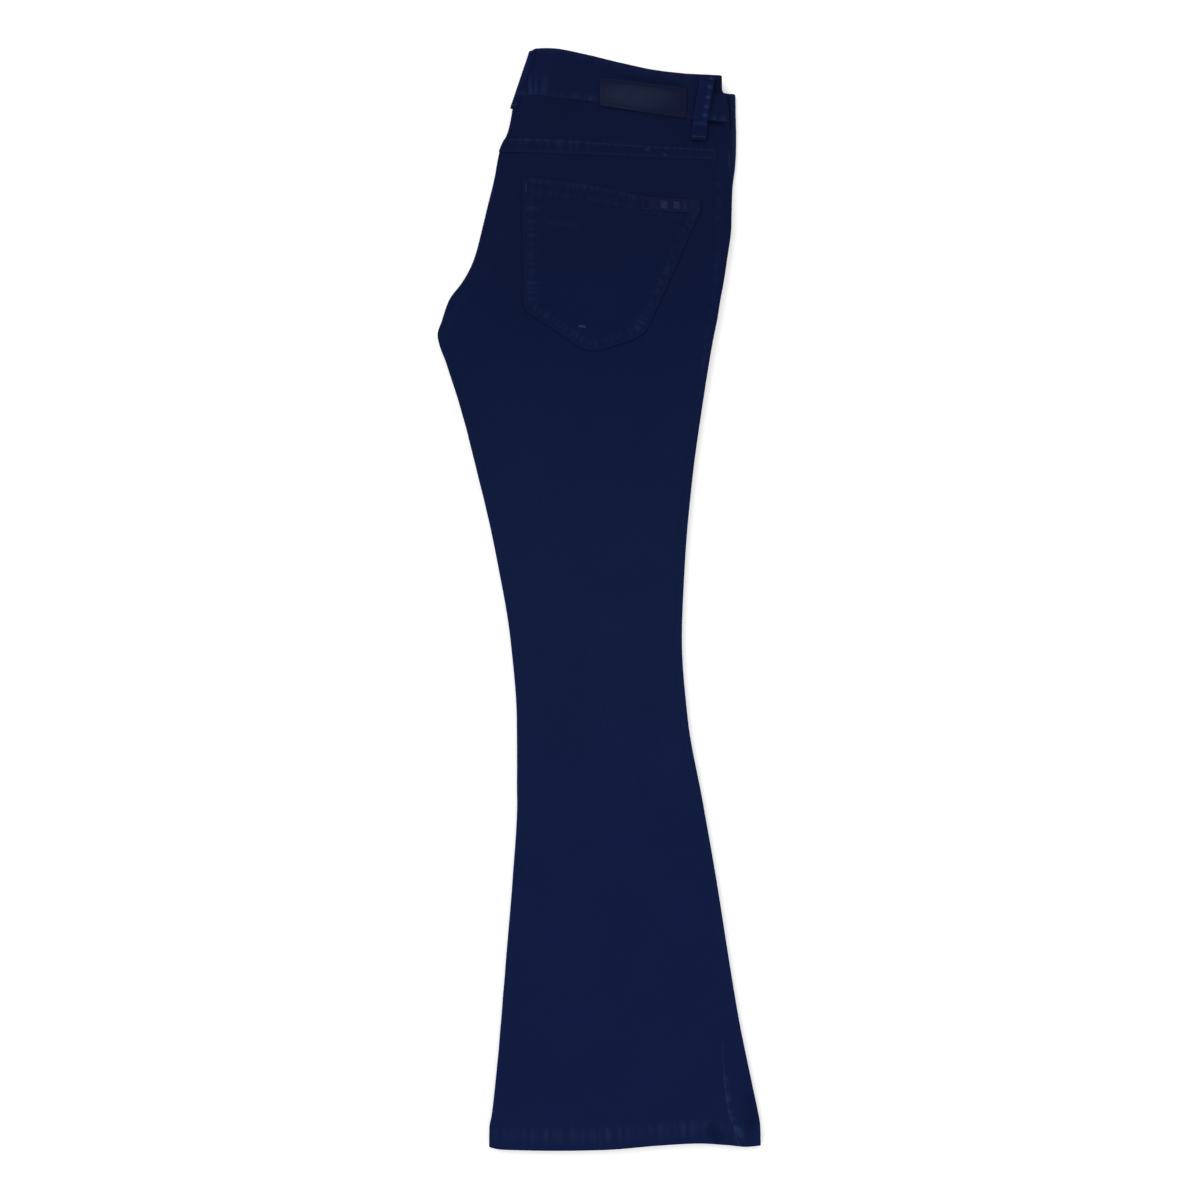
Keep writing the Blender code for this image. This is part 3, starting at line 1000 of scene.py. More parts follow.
@dataclass(frozen=True)
class StudioPaper:
    """The plain pale sheet that the jeans lie on."""

    name: str = "studio_paper"
    colour: Triple = (0.92, 0.92, 0.92)
    glow: float = 0.25

    def material(self) -> bpy.types.Material:
        """The finish as a material.

        Returns:
            A Principled material that glows a little.
        """
        shader = Shader(self.name)
        tone = shader.sloped(shader.noise(shader.place(), 3.0), 0.01, 0.995)
        return shader.dressed(
            shader.scaled(self.colour, tone),
            None,
            Roughness=0.9,
            Specular_IOR_Level=0.1,
            Emission_Strength=self.glow,
            Emission_Color=(1.0, 1.0, 1.0, 1.0),
        )


DENIM = Denim()
BAND_DENIM = Denim(name="band_twill", shade=1.12)
TRIM_DENIM = Denim(name="loop_twill", waist=(0.0032, 0.0066, 0.0318), shade=1.14, rib=0.75)
TOPSTITCH = Thread("topstitch_thread", (0.0070, 0.0120, 0.0450), (0.0200, 0.0300, 0.0780))
TACK_THREAD = Thread("tack_thread", (0.0050, 0.0086, 0.0360), (0.0330, 0.0440, 0.1040))
PATCH_THREAD = Thread("patch_thread", (0.0042, 0.0070, 0.0260), (0.0100, 0.0140, 0.0360))
PATCH_LEATHER = Leather()
TAB_TAPE = WovenTape()

Finish = Denim | Thread | Leather | WovenTape | StudioPaper


@cache
def material_of(finish: Finish) -> bpy.types.Material:
    """The material of a finish, made once."""
    return finish.material()


# --------------------------------------------------------------------------------- mesh makers

EDGE_WEAR = 0.12  # of a rounded cut edge
EDGE_ANGLES = (math.pi / 4.0, math.pi / 2.0, 3.0 * math.pi / 4.0)


class MeshMaker:
    """Gathers points and faces, in millimetres, and makes one object of them."""

    def __init__(self) -> None:
        """Start with nothing."""
        self.points: list[Array] = []
        self.threads: list[Array] = []
        self.wear: list[Array] = []
        self.faces: list[list[int]] = []
        self.count = 0

    def add(self, points: Array, threads: Array, wear: Array | float = 0.0) -> int:
        """Add points.

        Args:
            points: their X, Y and Z.
            threads: their place in the weave.
            wear: how worn each of them is, and the painted light and shade that some of them carry.

        Returns:
            The number of the first of them.
        """
        first = self.count
        self.points.append(points.reshape(-1, 3))
        self.count += len(self.points[-1])
        self.threads.append(threads.reshape(-1, 2))
        self.wear.append(np.broadcast_to(np.ravel(wear), self.count - first))
        return first

    def join(self, faces: Array, reverse: bool = False) -> None:
        """Add faces, a row of point numbers each, in the order given or the reverse."""
        self.faces.extend((faces[:, ::-1] if reverse else faces).tolist())

    def round_edge(
        self, high: Array, low: Array, out: Array, threads: Array | None, ends: tuple[Array, Array]
    ) -> list[Array]:
        """Add the rings of points that round the edge between two faces.

        Args:
            high: points on the outer face's edge.
            low: the points on the inner face's edge.
            out: which way is out of the piece at each of them.
            threads: their place in the weave, their X and Y where it isn't given.
            ends: the numbers of the points on both edges.

        Returns:
            The numbers of each ring's points, from the outer edge to the inner one.
        """
        middle, reach = (high + low) / 2.0, (high - low) / 2.0
        size = np.linalg.norm(reach, axis=1, keepdims=True)
        rings = []
        for angle in EDGE_ANGLES:
            ring = middle + reach * math.cos(angle) + out * size * math.sin(angle)
            weave = ring[:, :2] if threads is None else threads
            rings.append(np.arange(len(ring)) + self.add(ring, weave, EDGE_WEAR))
        return [ends[0], *rings, ends[1]]

    def build(self, name: str, finish: Finish, slot: Slot) -> Piece:
        """Make the object, give it its finish and let it ride with the part.

        Args:
            name: the piece's name.
            finish: its finish.
            slot: the record's material slot; not used.

        Returns:
            The object.
        """
        mesh = bpy.data.meshes.new(name)
        mesh.from_pydata((np.concatenate(self.points) * MM).tolist(), [], self.faces)
        corners = np.empty(len(mesh.loops), np.int32)
        mesh.loops.foreach_get("vertex_index", corners)
        threads = np.concatenate(self.threads) * MM
        mesh.uv_layers.new(name="cloth").uv.foreach_set("vector", threads[corners].ravel())
        wear = mesh.attributes.new("wear", "FLOAT", "POINT")
        wear.data.foreach_set("value", np.concatenate(self.wear).astype(np.float32))
        mesh.materials.append(material_of(finish))
        mesh.shade_smooth()
        made = bpy.data.objects.new(name, mesh)
        bpy.context.scene.collection.objects.link(made)
        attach(made, BODY)
        return made


@dataclass
class Cloth:
    """A closed thin piece of cloth from a grid of points on its outer face, in millimetres.

    The grid's rows run down the garment, and rows gives their y. lift moves the cloth out along
    its normal, thickness is measured inwards from there, and the cut edges are rounded.
    """

    points: Array
    thickness: Array | float
    outward: float
    lift: Array | float
    wear: Array | float
    rows: Array

    def normals(self, points: Array) -> Array:
        """Unit normals of a grid, pointing out of the pile."""
        down, across = np.gradient(points, axis=0), np.gradient(points, axis=1)
        return unit(np.cross(down, across)) * self.outward

    def threads(self) -> Array:
        """Each point's place in the weave.

        Returns:
            The distances across and along the cloth, from the middle of its first row.
        """
        steps = np.linalg.norm(np.diff(self.points, axis=1), axis=2)
        across = np.concatenate([np.zeros((len(steps), 1)), np.cumsum(steps, axis=1)], axis=1)
        middle = across.shape[1] // 2
        across -= across[:, middle : middle + 1]
        along = -travelled(self.points[:, middle])[:, None]
        return np.stack(np.broadcast_arrays(across, along), axis=-1)

    @cached_property
    def face(self) -> tuple[Array, Array]:
        """The lifted outer face.

        Returns:
            Its points and unit normals.
        """
        lift = np.broadcast_to(self.lift, self.points.shape[:2])[..., None]
        outer = self.points + self.normals(self.points) * lift
        return outer, self.normals(outer)

    def column_path(self, column: int, kept: Array | slice = slice(None)) -> tuple[Array, ...]:
        """Points and unit normals down a column, at the rows that are kept."""
        return tuple(values[kept, column] for values in self.face)

    def row_path(self, row: float, first: int = 0, last: int | None = None) -> tuple[Array, ...]:
        """A path along one of the garment's rows, between the rows of the grid.

        Args:
            row: y of the row.
            first: its first column.
            last: the column after its last one.

        Returns:
            The points and the unit normals.
        """
        place = float(np.interp(-row, -self.rows, np.arange(len(self.rows))))
        low = min(int(place), len(self.rows) - 2)
        share = place - low
        points, normals = (
            values[low, first:last] * (1.0 - share) + values[low + 1, first:last] * share
            for values in self.face
        )
        return points, unit(normals)

    def into(self, maker: MeshMaker) -> None:
        """Add the whole closed piece to a mesh.

        Args:
            maker: the mesh that it is added to.
        """
        shape = self.points.shape[:2]
        outer, normal = self.face
        inner = outer - normal * np.broadcast_to(self.thickness, shape)[..., None]
        threads, inwards = self.threads(), self.outward < 0.0
        firsts = (maker.add(outer, threads, np.broadcast_to(self.wear, shape)),
                  maker.add(inner, threads))  # fmt: skip
        number = np.arange(shape[0] * shape[1]).reshape(shape)
        quads = np.stack([number[:-1, :-1], number[1:, :-1], number[1:, 1:], number[:-1, 1:]], -1)
        quads = quads.reshape(-1, 4)
        maker.join(quads + firsts[0], inwards)
        maker.join(quads + firsts[1], not inwards)

        # The grid's edge, clockwise from its first point, and which way is out of the piece there.
        edge = [number[0], number[1:, -1], number[-1, -2::-1], number[-2:0:-1, 0]]
        edge = np.concatenate(edge)
        place = np.divmod(edge, shape[1])
        out = np.zeros((len(edge), 3))
        for axis in (0, 1):
            way = unit(np.gradient(outer, axis=axis))[place]
            ends = 1.0 * (place[axis] == shape[axis] - 1) - (place[axis] == 0)
            out += way * ends[:, None]
        edges = (edge + firsts[0], edge + firsts[1])
        rings = maker.round_edge(outer[place], inner[place], unit(out), threads[place], edges)
        for near, far in zip(rings, rings[1:]):
            quads = np.stack([near, np.roll(near, -1), np.roll(far, -1), far], axis=1)
            maker.join(quads, inwards)


@dataclass
class Plate:
    """A closed flat piece inside a ring of points, laid on a surface and rounded at its edge."""

    ring: Array
    shares: Array
    under: HeightMap
    over: HeightMap
    side: float
    wear: HeightMap

    def into(self, maker: MeshMaker) -> None:
        """Add the whole closed piece to a mesh.

        Args:
            maker: the mesh that it is added to.
        """
        centre = self.ring.mean(axis=0)
        flat = centre + (self.ring - centre) * self.shares[:, None, None]
        x, y = flat[..., 0], flat[..., 1]
        faces = [np.dstack([x, y, height(x, y)]) for height in (self.over, self.under)]
        wear = self.wear(x, y)
        firsts = [maker.add(face, flat, wear) for face in faces]
        number = np.arange(x.size).reshape(x.shape)
        after = np.roll(number, -1, axis=1)
        quads = np.stack([number[:-1], after[:-1], after[1:], number[1:]], -1).reshape(-1, 4)
        area = np.sum(x[0] * np.roll(y[0], -1) - np.roll(x[0], -1) * y[0])
        flip = (area < 0.0) == (self.side > 0.0)
        for face, first, reverse in zip(faces, firsts, (flip, not flip)):
            maker.join(quads + first, reverse)
            hub = maker.add(face[-1].mean(axis=0), face[-1].mean(axis=0)[:2])
            ring = number[-1] + first
            fan = np.stack([ring, np.roll(ring, -1), np.full(len(ring), hub)], axis=1)
            maker.join(fan, reverse)

        high, low = faces[0][0], faces[1][0]
        along = np.roll(self.ring, -1, axis=0) - np.roll(self.ring, 1, axis=0)
        out = unit(stacked(along[:, 1], -along[:, 0], 0.0 * along[:, 0]))
        out = -out if area < 0.0 else out
        edges = (number[0] + firsts[0], number[0] + firsts[1])
        rings = maker.round_edge(high, low, out, None, edges)
        for near, far in zip(rings, rings[1:]):
            maker.join(np.stack([near, far, np.roll(far, -1), np.roll(near, -1)], axis=1), flip)


@dataclass(frozen=True)
class StitchSize:
    """Sizes of a row of stitches, and whether each lies across the row, as in a bar tack."""

    pitch: float
    length: float
    width: float
    height: float
    across: bool = False


TOP_STITCH = StitchSize(3.3, 2.8, 0.72, 0.42)
FINE_STITCH = StitchSize(2.6, 2.2, 0.6, 0.36)
TACK_STITCH = StitchSize(0.56, 2.0, 0.62, 0.5, across=True)
FOOT_TACK = StitchSize(0.56, 1.5, 0.62, 0.55, across=True)


class StitchWork:
    """Rows of stitches and bar tacks, joined into one mesh."""

    # Place along a stitch and share of its thickness, ring by ring.
    RINGS = ((-1.0, 0.0), (-0.8, 0.72), (-0.3, 1.0), (0.3, 1.0), (0.8, 0.72), (1.0, 0.0))
    SIDES = 6

    def __init__(self) -> None:
        """Start with no stitches."""
        self.maker = MeshMaker()

    def row(self, path: tuple[Array, Array], size: StitchSize, wear: float = 0.0) -> None:
        """Sew along a path, each stitch a rounded bead with its ends sunk in the cloth.

        Args:
            path: points along the row, on the cloth, and the cloth's unit normals there.
            size: the stitches' sizes.
            wear: how rubbed the thread is, from 0 to 1.
        """
        (points, normals), along = path, travelled(path[0])
        count = max(int(along[-1] / size.pitch), 1)
        uneven = np.sin(2.4 * np.arange(count) + along[-1])
        spots = (np.arange(count) + 0.5) * along[-1] / count + 0.06 * size.pitch * uneven
        reach = 0.5 * min(size.pitch, 2.0)

        def sample(values: Array, places: Array) -> Array:
            """Values of the path at distances along it."""
            return np.stack([np.interp(places, along, column) for column in values.T], axis=1)

        ahead, behind = sample(points, spots + reach), sample(points, spots - reach)
        tangent, normal = unit(ahead - behind), unit(sample(normals, spots))
        side = unit(np.cross(normal, tangent))
        if size.across:
            tangent, side = unit(side + 0.15 * tangent), -tangent
        centres = 0.5 * sample(points, spots) + 0.25 * (ahead + behind)
        half = 0.5 * size.length * (1.0 + 0.05 * uneven)
        rings = []
        for place, share in self.RINGS:
            middle = centres + tangent * (place * half)[:, None]
            middle = middle + normal * (size.height * (0.18 - 0.75 * place**2))
            angles = 2.0 * np.pi * np.arange(self.SIDES) / self.SIDES if share else np.zeros(1)
            wide = (0.5 * size.width * share * np.cos(angles))[:, None]
            high = (0.5 * size.height * share * np.sin(angles))[:, None]
            rings.append(middle[:, None] + side[:, None] * wide + normal[:, None] * high)
        made = np.concatenate(rings, axis=1)
        rubbed = np.clip(wear + 0.25 * uneven * min(wear * 4.0, 1.0), 0.0, 1.0)
        first = self.maker.add(made, made[..., :2], np.repeat(rubbed, made.shape[1]))
        starts = first + np.arange(count)[:, None] * made.shape[1]
        for polygon in self.faces():
            self.maker.join(starts + np.array(polygon))

    def faces(self) -> list[list[int]]:
        """Faces of one stitch.

        Returns:
            Each face as numbers of the stitch's points.
        """
        sides, found = self.SIDES, []
        last = 1 + sides * (len(self.RINGS) - 2)
        for k in range(sides):
            after = (k + 1) % sides
            found.append([0, 1 + after, 1 + k])
            for low in range(1, last - sides, sides):
                found.append([low + k, low + after, low + sides + after, low + sides + k])
            found.append([last, last - sides + k, last - sides + after])
        return found

    def on_surface(
        self, line: Line, height: HeightMap, side: float, size: StitchSize, wear: float = 0.0
    ) -> None:
        """Sew along a line in the plan, on a surface.

        Args:
            line: the row in the plan.
            height: the surface's height.
            side: 1 for the surface's upper side, -1 for its under side.
            size: the stitches' sizes.
            wear: how rubbed the thread is.
        """
        x, y = line.resampled(1.0).points.T
        small = 0.4
        slope_x = (height(x + small, y) - height(x - small, y)) / (2.0 * small)
        slope_y = (height(x, y + small) - height(x, y - small)) / (2.0 * small)
        normals = unit(stacked(-slope_x, -slope_y, np.ones_like(x))) * side
        self.row((stacked(x, y, height(x, y)), normals), size, wear)

    def tack(self, bar: tuple[float, ...], height: HeightMap, side: float) -> None:
        """Sew a bar tack on a surface.

        Args:
            bar: X and Y of both ends, the bar's width and how rubbed its thread is.
            height: the surface's height.
            side: 1 for the surface's upper side, -1 for its under side.
        """
        x1, y1, x2, y2, width, wear = bar
        size = replace(TACK_STITCH, length=width)
        self.on_surface(Line([(x1, y1), (x2, y2)]), height, side, size, wear)


# -------------------------------------------------------------------------------- sub-assemblies


class Cut(NamedTuple):
    """A piece's cut before it was sewn and folded, in metres and square metres."""

    width: float
    length: float
    area: float


@dataclass(kw_only=True)
class SewnPiece:
    """A piece that is cut and sewn on, with its stitches and its bar tacks."""

    name: str
    nodes: tuple[str, ...]
    cut: Cut | None = None

    FINISH = DENIM
    SLOT = Slot.DENIM
    THREAD = TOPSTITCH
    HELD = Held.FOLDED

    def shape(self) -> Cloth | Plate:
        """The piece's closed shape."""
        raise NotImplementedError

    def sew(self, shape: Cloth | Plate, stitches: StitchWork, tacks: StitchWork) -> None:
        """Sew the rows of stitches and the bar tacks on the shape."""
        raise NotImplementedError

    def build(self) -> list[Piece]:
        """Returns:
            The piece, and then its stitches and its tacks where it has them.
        """
        shape, maker = self.shape(), MeshMaker()
        shape.into(maker)
        piece = maker.build(self.name, self.FINISH, self.SLOT)
        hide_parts(*self.nodes)
        stitches, tacks = StitchWork(), StitchWork()
        self.sew(shape, stitches, tacks)
        kinds = (("stitches", stitches, self.THREAD), ("tacks", tacks, TACK_THREAD))
        sewn = [
            work.maker.build(f"{self.name}_{kind}", thread, Slot.TRIM)
            for kind, work, thread in kinds
            if work.maker.count
        ]
        return [piece, *sewn]


@dataclass(kw_only=True)
class Panel(SewnPiece):
    """A panel or yoke of one half of the jeans."""

    half: Half
    cloth: float = 1.1
    seam_roll: float = 0.25
    sunk: float = 0.15  # least depth of the under half's cloth in the plain form

    ROLL_COLUMNS = (2, 5)  # the columns that the seat and inseam stitches run down

    def __post_init__(self) -> None:
        """Find which way is out of the pile, and set out the ridges and troughs."""
        self.side, self.upper = self.half.value, self.half is Half.UPPER
        self.relief = Relief()
        self.set_relief()

    def set_relief(self) -> None:
        """Add the ridges and troughs."""
        raise NotImplementedError

    def settled(self, lift: Array) -> Array:
        """A lift as it is, or in the under half only its troughs, as it is flat where it rests."""
        return lift if self.upper else np.minimum(lift - self.sunk, 0.0)

    def lift(self, x: Array, y: Array) -> Array:
        """How far the cloth stands out of the plain form at points in the plan."""
        return self.settled(self.relief.lift(x, y))

    def pressed(self) -> Array:
        """How far the head is pressed down under the waistband, row by row."""
        return 0.35 * soft_step((self.rows - BAND_FOOT + 0.6) / 2.0)[:, None]

    def rolled_face(
        self, turns: int, shares: Array, dip: float = 0.0, tail: Sequence[float] = ()
    ) -> Array:
        """A back piece's outer face without ridges, rolled in at its inner edge.

        Args:
            turns: steps of the roll.
            shares: places of the columns from the roll towards the outseam, from 0 to 1.
            dip: how far the head is pressed down under the yoke.
            tail: places of the last columns, beside the outseam.

        Returns:
            An array of rows, columns and X, Y and Z.
        """
        rows = self.rows[:, None]
        radius, centre = FORM.fold(rows, self.half)
        start, end = FORM.inner(rows) + radius, FORM.outseam(rows, self.half)
        turn = arc(start, centre, radius, 180.0, 180.0 - 90.0 * self.side, turns)
        last = end - 5.0 if tail else end
        x = np.hstack([start + (last - start) * shares, end + np.array(tail)])
        z = FORM.face(x, rows, self.half)
        z = z - self.side * self.seam_roll * soft_step((x - end + 1.9) / 1.9)
        x, z = np.hstack([turn[..., 0], x]), np.hstack([turn[..., 1], z])
        z = z - self.side * dip * soft_step((rows - YOKE_FOOT + 0.6) / 2.0) * (x > start)
        return stacked(x, FORM.line_y(rows, x, self.half), z)

    def sew_roll(self, shape: Cloth, stitches: StitchWork, low: float, high: float) -> None:
        """Sew down the rolled edge.

        Args:
            shape: the piece's shape.
            stitches: where the rows of stitches go.
            low: y of the row that they start above.
            high: y of the row that they end below.
        """
        for column in self.ROLL_COLUMNS:
            inside = (self.rows > low) & (self.rows < high)
            stitches.row(shape.column_path(column, inside), FINE_STITCH)


@dataclass(kw_only=True)
class Leg(Panel):
    """A leg panel with its turned hem."""

    hem_cloth: float = 1.9
    hem_row: float = -529.6

    def add_hem(self, height: float) -> Line:
        """Add the hem's puckers and the trough of its stitches.

        Args:
            height: height of the puckers.

        Returns:
            The row of stitches.
        """
        line = FORM.row_line(self.hem_row, self.half, 8.0)
        self.relief.puckers(line, (8.8, 0.7 * height, 2.5, 14, 0.7, 0.22))
        self.relief.troughs(line, width=0.8)
        return line

    def thickness(self) -> Array:
        """Thickness of the cloth, row by row."""
        hem = soft_step((HEM_HEAD - 0.2 - self.rows) / 1.6)[:, None]
        return self.cloth + (self.hem_cloth - self.cloth) * hem


@dataclass(kw_only=True)
class BackLeg(Leg):
    """A back leg panel from the yoke down to the hem, rolled in at its inseam."""

    tuck: float = 3.0
    dip: float = 0.35
    fine: float = 2.4
    cut: Cut = Cut(0.32, 1.035, 0.213)

    TAIL = (-3.8, -2.8, -2.0, -1.3, -0.7, 0.0)
    # Start, end, width, height, bow and wear of the creases; the last crease's wear below zero is
    # painted shade beside the outseam by the hem.
    UPPER_CREASES = (
        (-60, -150, -28, -270, 22, 0.9, 4), (-30, -140, 10, -290, 26, -0.8, -5),
        (48, -150, 78, -270, 20, -0.9, 3), (-86, -270, -48, -352, 16, -0.9, 3),
        (14, 190, 25, 132, 7, 0.5, 2), (-89, 306, -87, 272, 3, -0.8, 1),
        (-92, 203, -90, 192, 2.5, -0.6), (-132, 262, -60, 236, 12, 0.7, 5),
        (-118, 238, -20, 212, 11, -0.6, 4), (96, 240, 20, 196, 15, -0.6, -5),
        (84, 110, 30, 62, 13, 0.5, 3), (-84, 30, -20, -18, 14, 0.6, -4),
        (72, -30, 4, -64, 13, -0.6, 4), (-70, -60, -8, -84, 10, -0.5, 3),
        (104, -300, 40, -372, 22, 0.7, 6), (-80, -420, -30, -500, 18, 0.6, 3),
        (60, -420, 92, -515, 20, -0.7, -3), (10, -400, 18, -505, 17, 0.6, 2),
        (112, 398, 104, 352, 6, -0.7, 1.5), (-94, 400, -88, 330, 7, 0.6, -2),
        (106, -524, 124, -546, 7, -0.7, 0, -0.5),
    )  # fmt: skip
    UNDER_CREASES = (
        (-66, -120, -20, -245, 20, -0.8, 5), (30, -170, 72, -290, 18, -0.7, -4),
        (-50, -330, 4, -430, 22, -0.8, 4), (96, -330, 58, -440, 16, -0.6, 5),
        (-120, 240, -34, 205, 12, -0.8, 5), (88, 190, 16, 150, 14, -0.6, -5),
        (-88, 60, -14, 20, 11, -0.7, 4), (70, 24, -2, -24, 13, -0.6, -4),
        (-74, -30, -12, -70, 10, -0.5, 3), (100, 330, 60, 240, 12, -0.6, 4),
    )  # fmt: skip

    def __post_init__(self) -> None:
        """Set out the rows of the grid, and the relief."""
        self.rows = spaced(
            (YOKE_FOOT + self.tuck, 250.0, 0.9 * self.fine),
            (250.0, -497.0, 1.7 * self.fine),
            (-497.0, -524.0, self.fine),
            (-524.0, -535.0, 0.8),
            (-535.0, HEM_EDGE, 1.5),
        )
        super().__post_init__()

    def set_relief(self) -> None:
        """Add the creases, the swells, and the puckers of the hem and the seams."""
        relief, height = self.relief, 0.5 if self.upper else 0.35
        if self.upper:
            relief.add(Swell(0.42, 190.0, 0.4))
            relief.add(Swell(0.16, 66.0, 2.1))
        relief.creases(*(self.UPPER_CREASES if self.upper else self.UNDER_CREASES))
        relief.puckers(self.add_hem(height), (13.4, 0.5 * height, 5, 13, 2.9, 0.16))
        low, hip = (FORM.outseam_line(self.half, rows) for rows in (LOW_SEAM, HIP_SEAM))
        relief.puckers(low, (12.5, height, 2.4, 1.5, 1.6, 0.6, 60))
        relief.add(Ridge(low, 1.3, 0.3, 34.0), 0.28)
        relief.puckers(hip, (8.6, 0.22, 1.5, 2.5, 0.8, 0.07))
        relief.troughs(hip, width=0.9, height=-0.1)

    def height(self, x: Array, y: Array) -> Array:
        """Height of the outer face at points in the plan."""
        return FORM.surface(x, y, self.half) + self.side * self.lift(x, y)

    def shape(self) -> Cloth:
        """The panel's closed shape.

        Returns:
            The shape.
        """
        face = self.rolled_face(6, shares_of((0.0, 228.0, self.fine))[1:], self.dip, self.TAIL)
        x, y = face[..., 0], face[..., 1]
        lift, wear = self.lift(x, y), self.relief.wear(x, y)
        return Cloth(face, self.thickness(), self.side, lift, wear, self.rows)

    def sew(self, shape: Cloth, stitches: StitchWork, tacks: StitchWork) -> None:
        """Sew the hem and the rolled edge."""
        stitches.row(shape.row_path(self.hem_row), TOP_STITCH)
        self.sew_roll(shape, stitches, 262.0, 446.0)


@dataclass(kw_only=True)
class FrontLeg(Leg):
    """A front leg panel: from the outseam round the outer fold, and back inside to the inseam."""

    seam_tuck: float = 1.0
    seam_roll: float = 0.5
    strip_columns: int = 10
    turn_steps: int = 12
    cut: Cut = Cut(0.28, 1.045, 0.236)

    def __post_init__(self) -> None:
        """Set out the rows of the grid, and the relief."""
        self.rows = spaced(
            (BAND_FOOT + 2.5, BAND_FOOT - 4.0, 1.5),
            (BAND_FOOT - 4.0, 250.0, 4.2),
            (250.0, -497.0, 5.4),
            (-497.0, -524.0, 3.2),
            (-524.0, -535.0, 0.9),
            (-535.0, HEM_EDGE, 1.7),
        )
        super().__post_init__()
        # The under half is painted lighter, as painted light on its edge that shows in the upper
        # half's shade.
        self.rubbed = 0.0 if self.upper else 0.33

    def set_relief(self) -> None:
        """Add the puckers beside the outseam and along the hem, and a few creases."""
        relief, height = self.relief, 0.45 if self.upper else 0.25
        low, hip = (FORM.outseam_line(self.half, rows) for rows in (LOW_SEAM, HIP_SEAM))
        relief.puckers(low, (12.5, height, 3.5, 2, 1.6, 0.55, 60))
        relief.puckers(hip, (8.6, 0.3, 5.5, 1.5, 0.8, 0.14))
        relief.troughs(hip, width=1.0, height=-0.1)
        # The first crease's wear below zero is painted shade beside the outseam by the hem.
        relief.creases(
            (151, -486, 152, -546, 7, -0.8, 0, -0.45), (138.5, -527, 142, -541, 2.6, 0.3, 0, 0.5)
        )
        self.add_hem(height)
        if self.upper:
            # The last crease's wear below zero is painted shade under the waistband's foot.
            relief.creases(
                (130, 452, 130.6, 423, 1.4, 0.2, 0, 0.3), (94, 477.6, 130, 474.6, 2.6, -0.5, 0, -1)
            )

    def shape(self) -> Cloth:
        """The panel's closed shape.

        Returns:
            The shape.
        """
        rows = self.rows[:, None]
        top, radius = FORM.top(rows), FORM.lobe(rows)
        seam, turn_x = FORM.outseam(rows, self.half), FORM.edge(rows, self.half) - radius
        first, end = seam - self.seam_tuck, FORM.inner(rows) + FORM.front_edge(rows) + radius
        shares = np.linspace(0.0, 1.0, self.strip_columns + 1)[:-1] ** 2
        strip = first + (turn_x - first) * shares
        rise = soft_step((strip - seam + 0.3) / 1.5)
        inside = turn_x + (end - turn_x) * shares_of((0.0, 220.0, 4.2))[1:]
        parts = (
            section(strip, top - self.seam_roll * (1.0 - rise)),
            arc(turn_x, top - radius, radius, 90.0, -90.0, self.turn_steps),
            section(inside, top - 2.0 * radius),
            arc(end, top - radius, radius, -90.0, -180.0, 6)[:, 1:],
        )
        x, z = np.moveaxis(np.concatenate(parts, axis=1), -1, 0)
        z = z if self.upper else FORM.base(rows) + top - z
        column, fold = np.arange(x.shape[1]), self.strip_columns + self.turn_steps
        way = np.clip((turn_x - x) / (turn_x - end), 0.0, 1.0) * (column >= fold)
        y = FORM.line_y(rows, x, self.half) - FORM.front_drop(rows) * way
        shown = column < fold - 5
        lift = self.settled(self.relief.lift(x, y) * shown) - self.pressed()
        wear = self.relief.wear(x, y) * shown + self.rubbed
        return Cloth(stacked(x, y, z), self.thickness(), self.side, lift, wear, self.rows)

    def sew(self, shape: Cloth, stitches: StitchWork, tacks: StitchWork) -> None:
        """Sew the hem."""
        stitches.row(shape.row_path(self.hem_row, 3), TOP_STITCH)


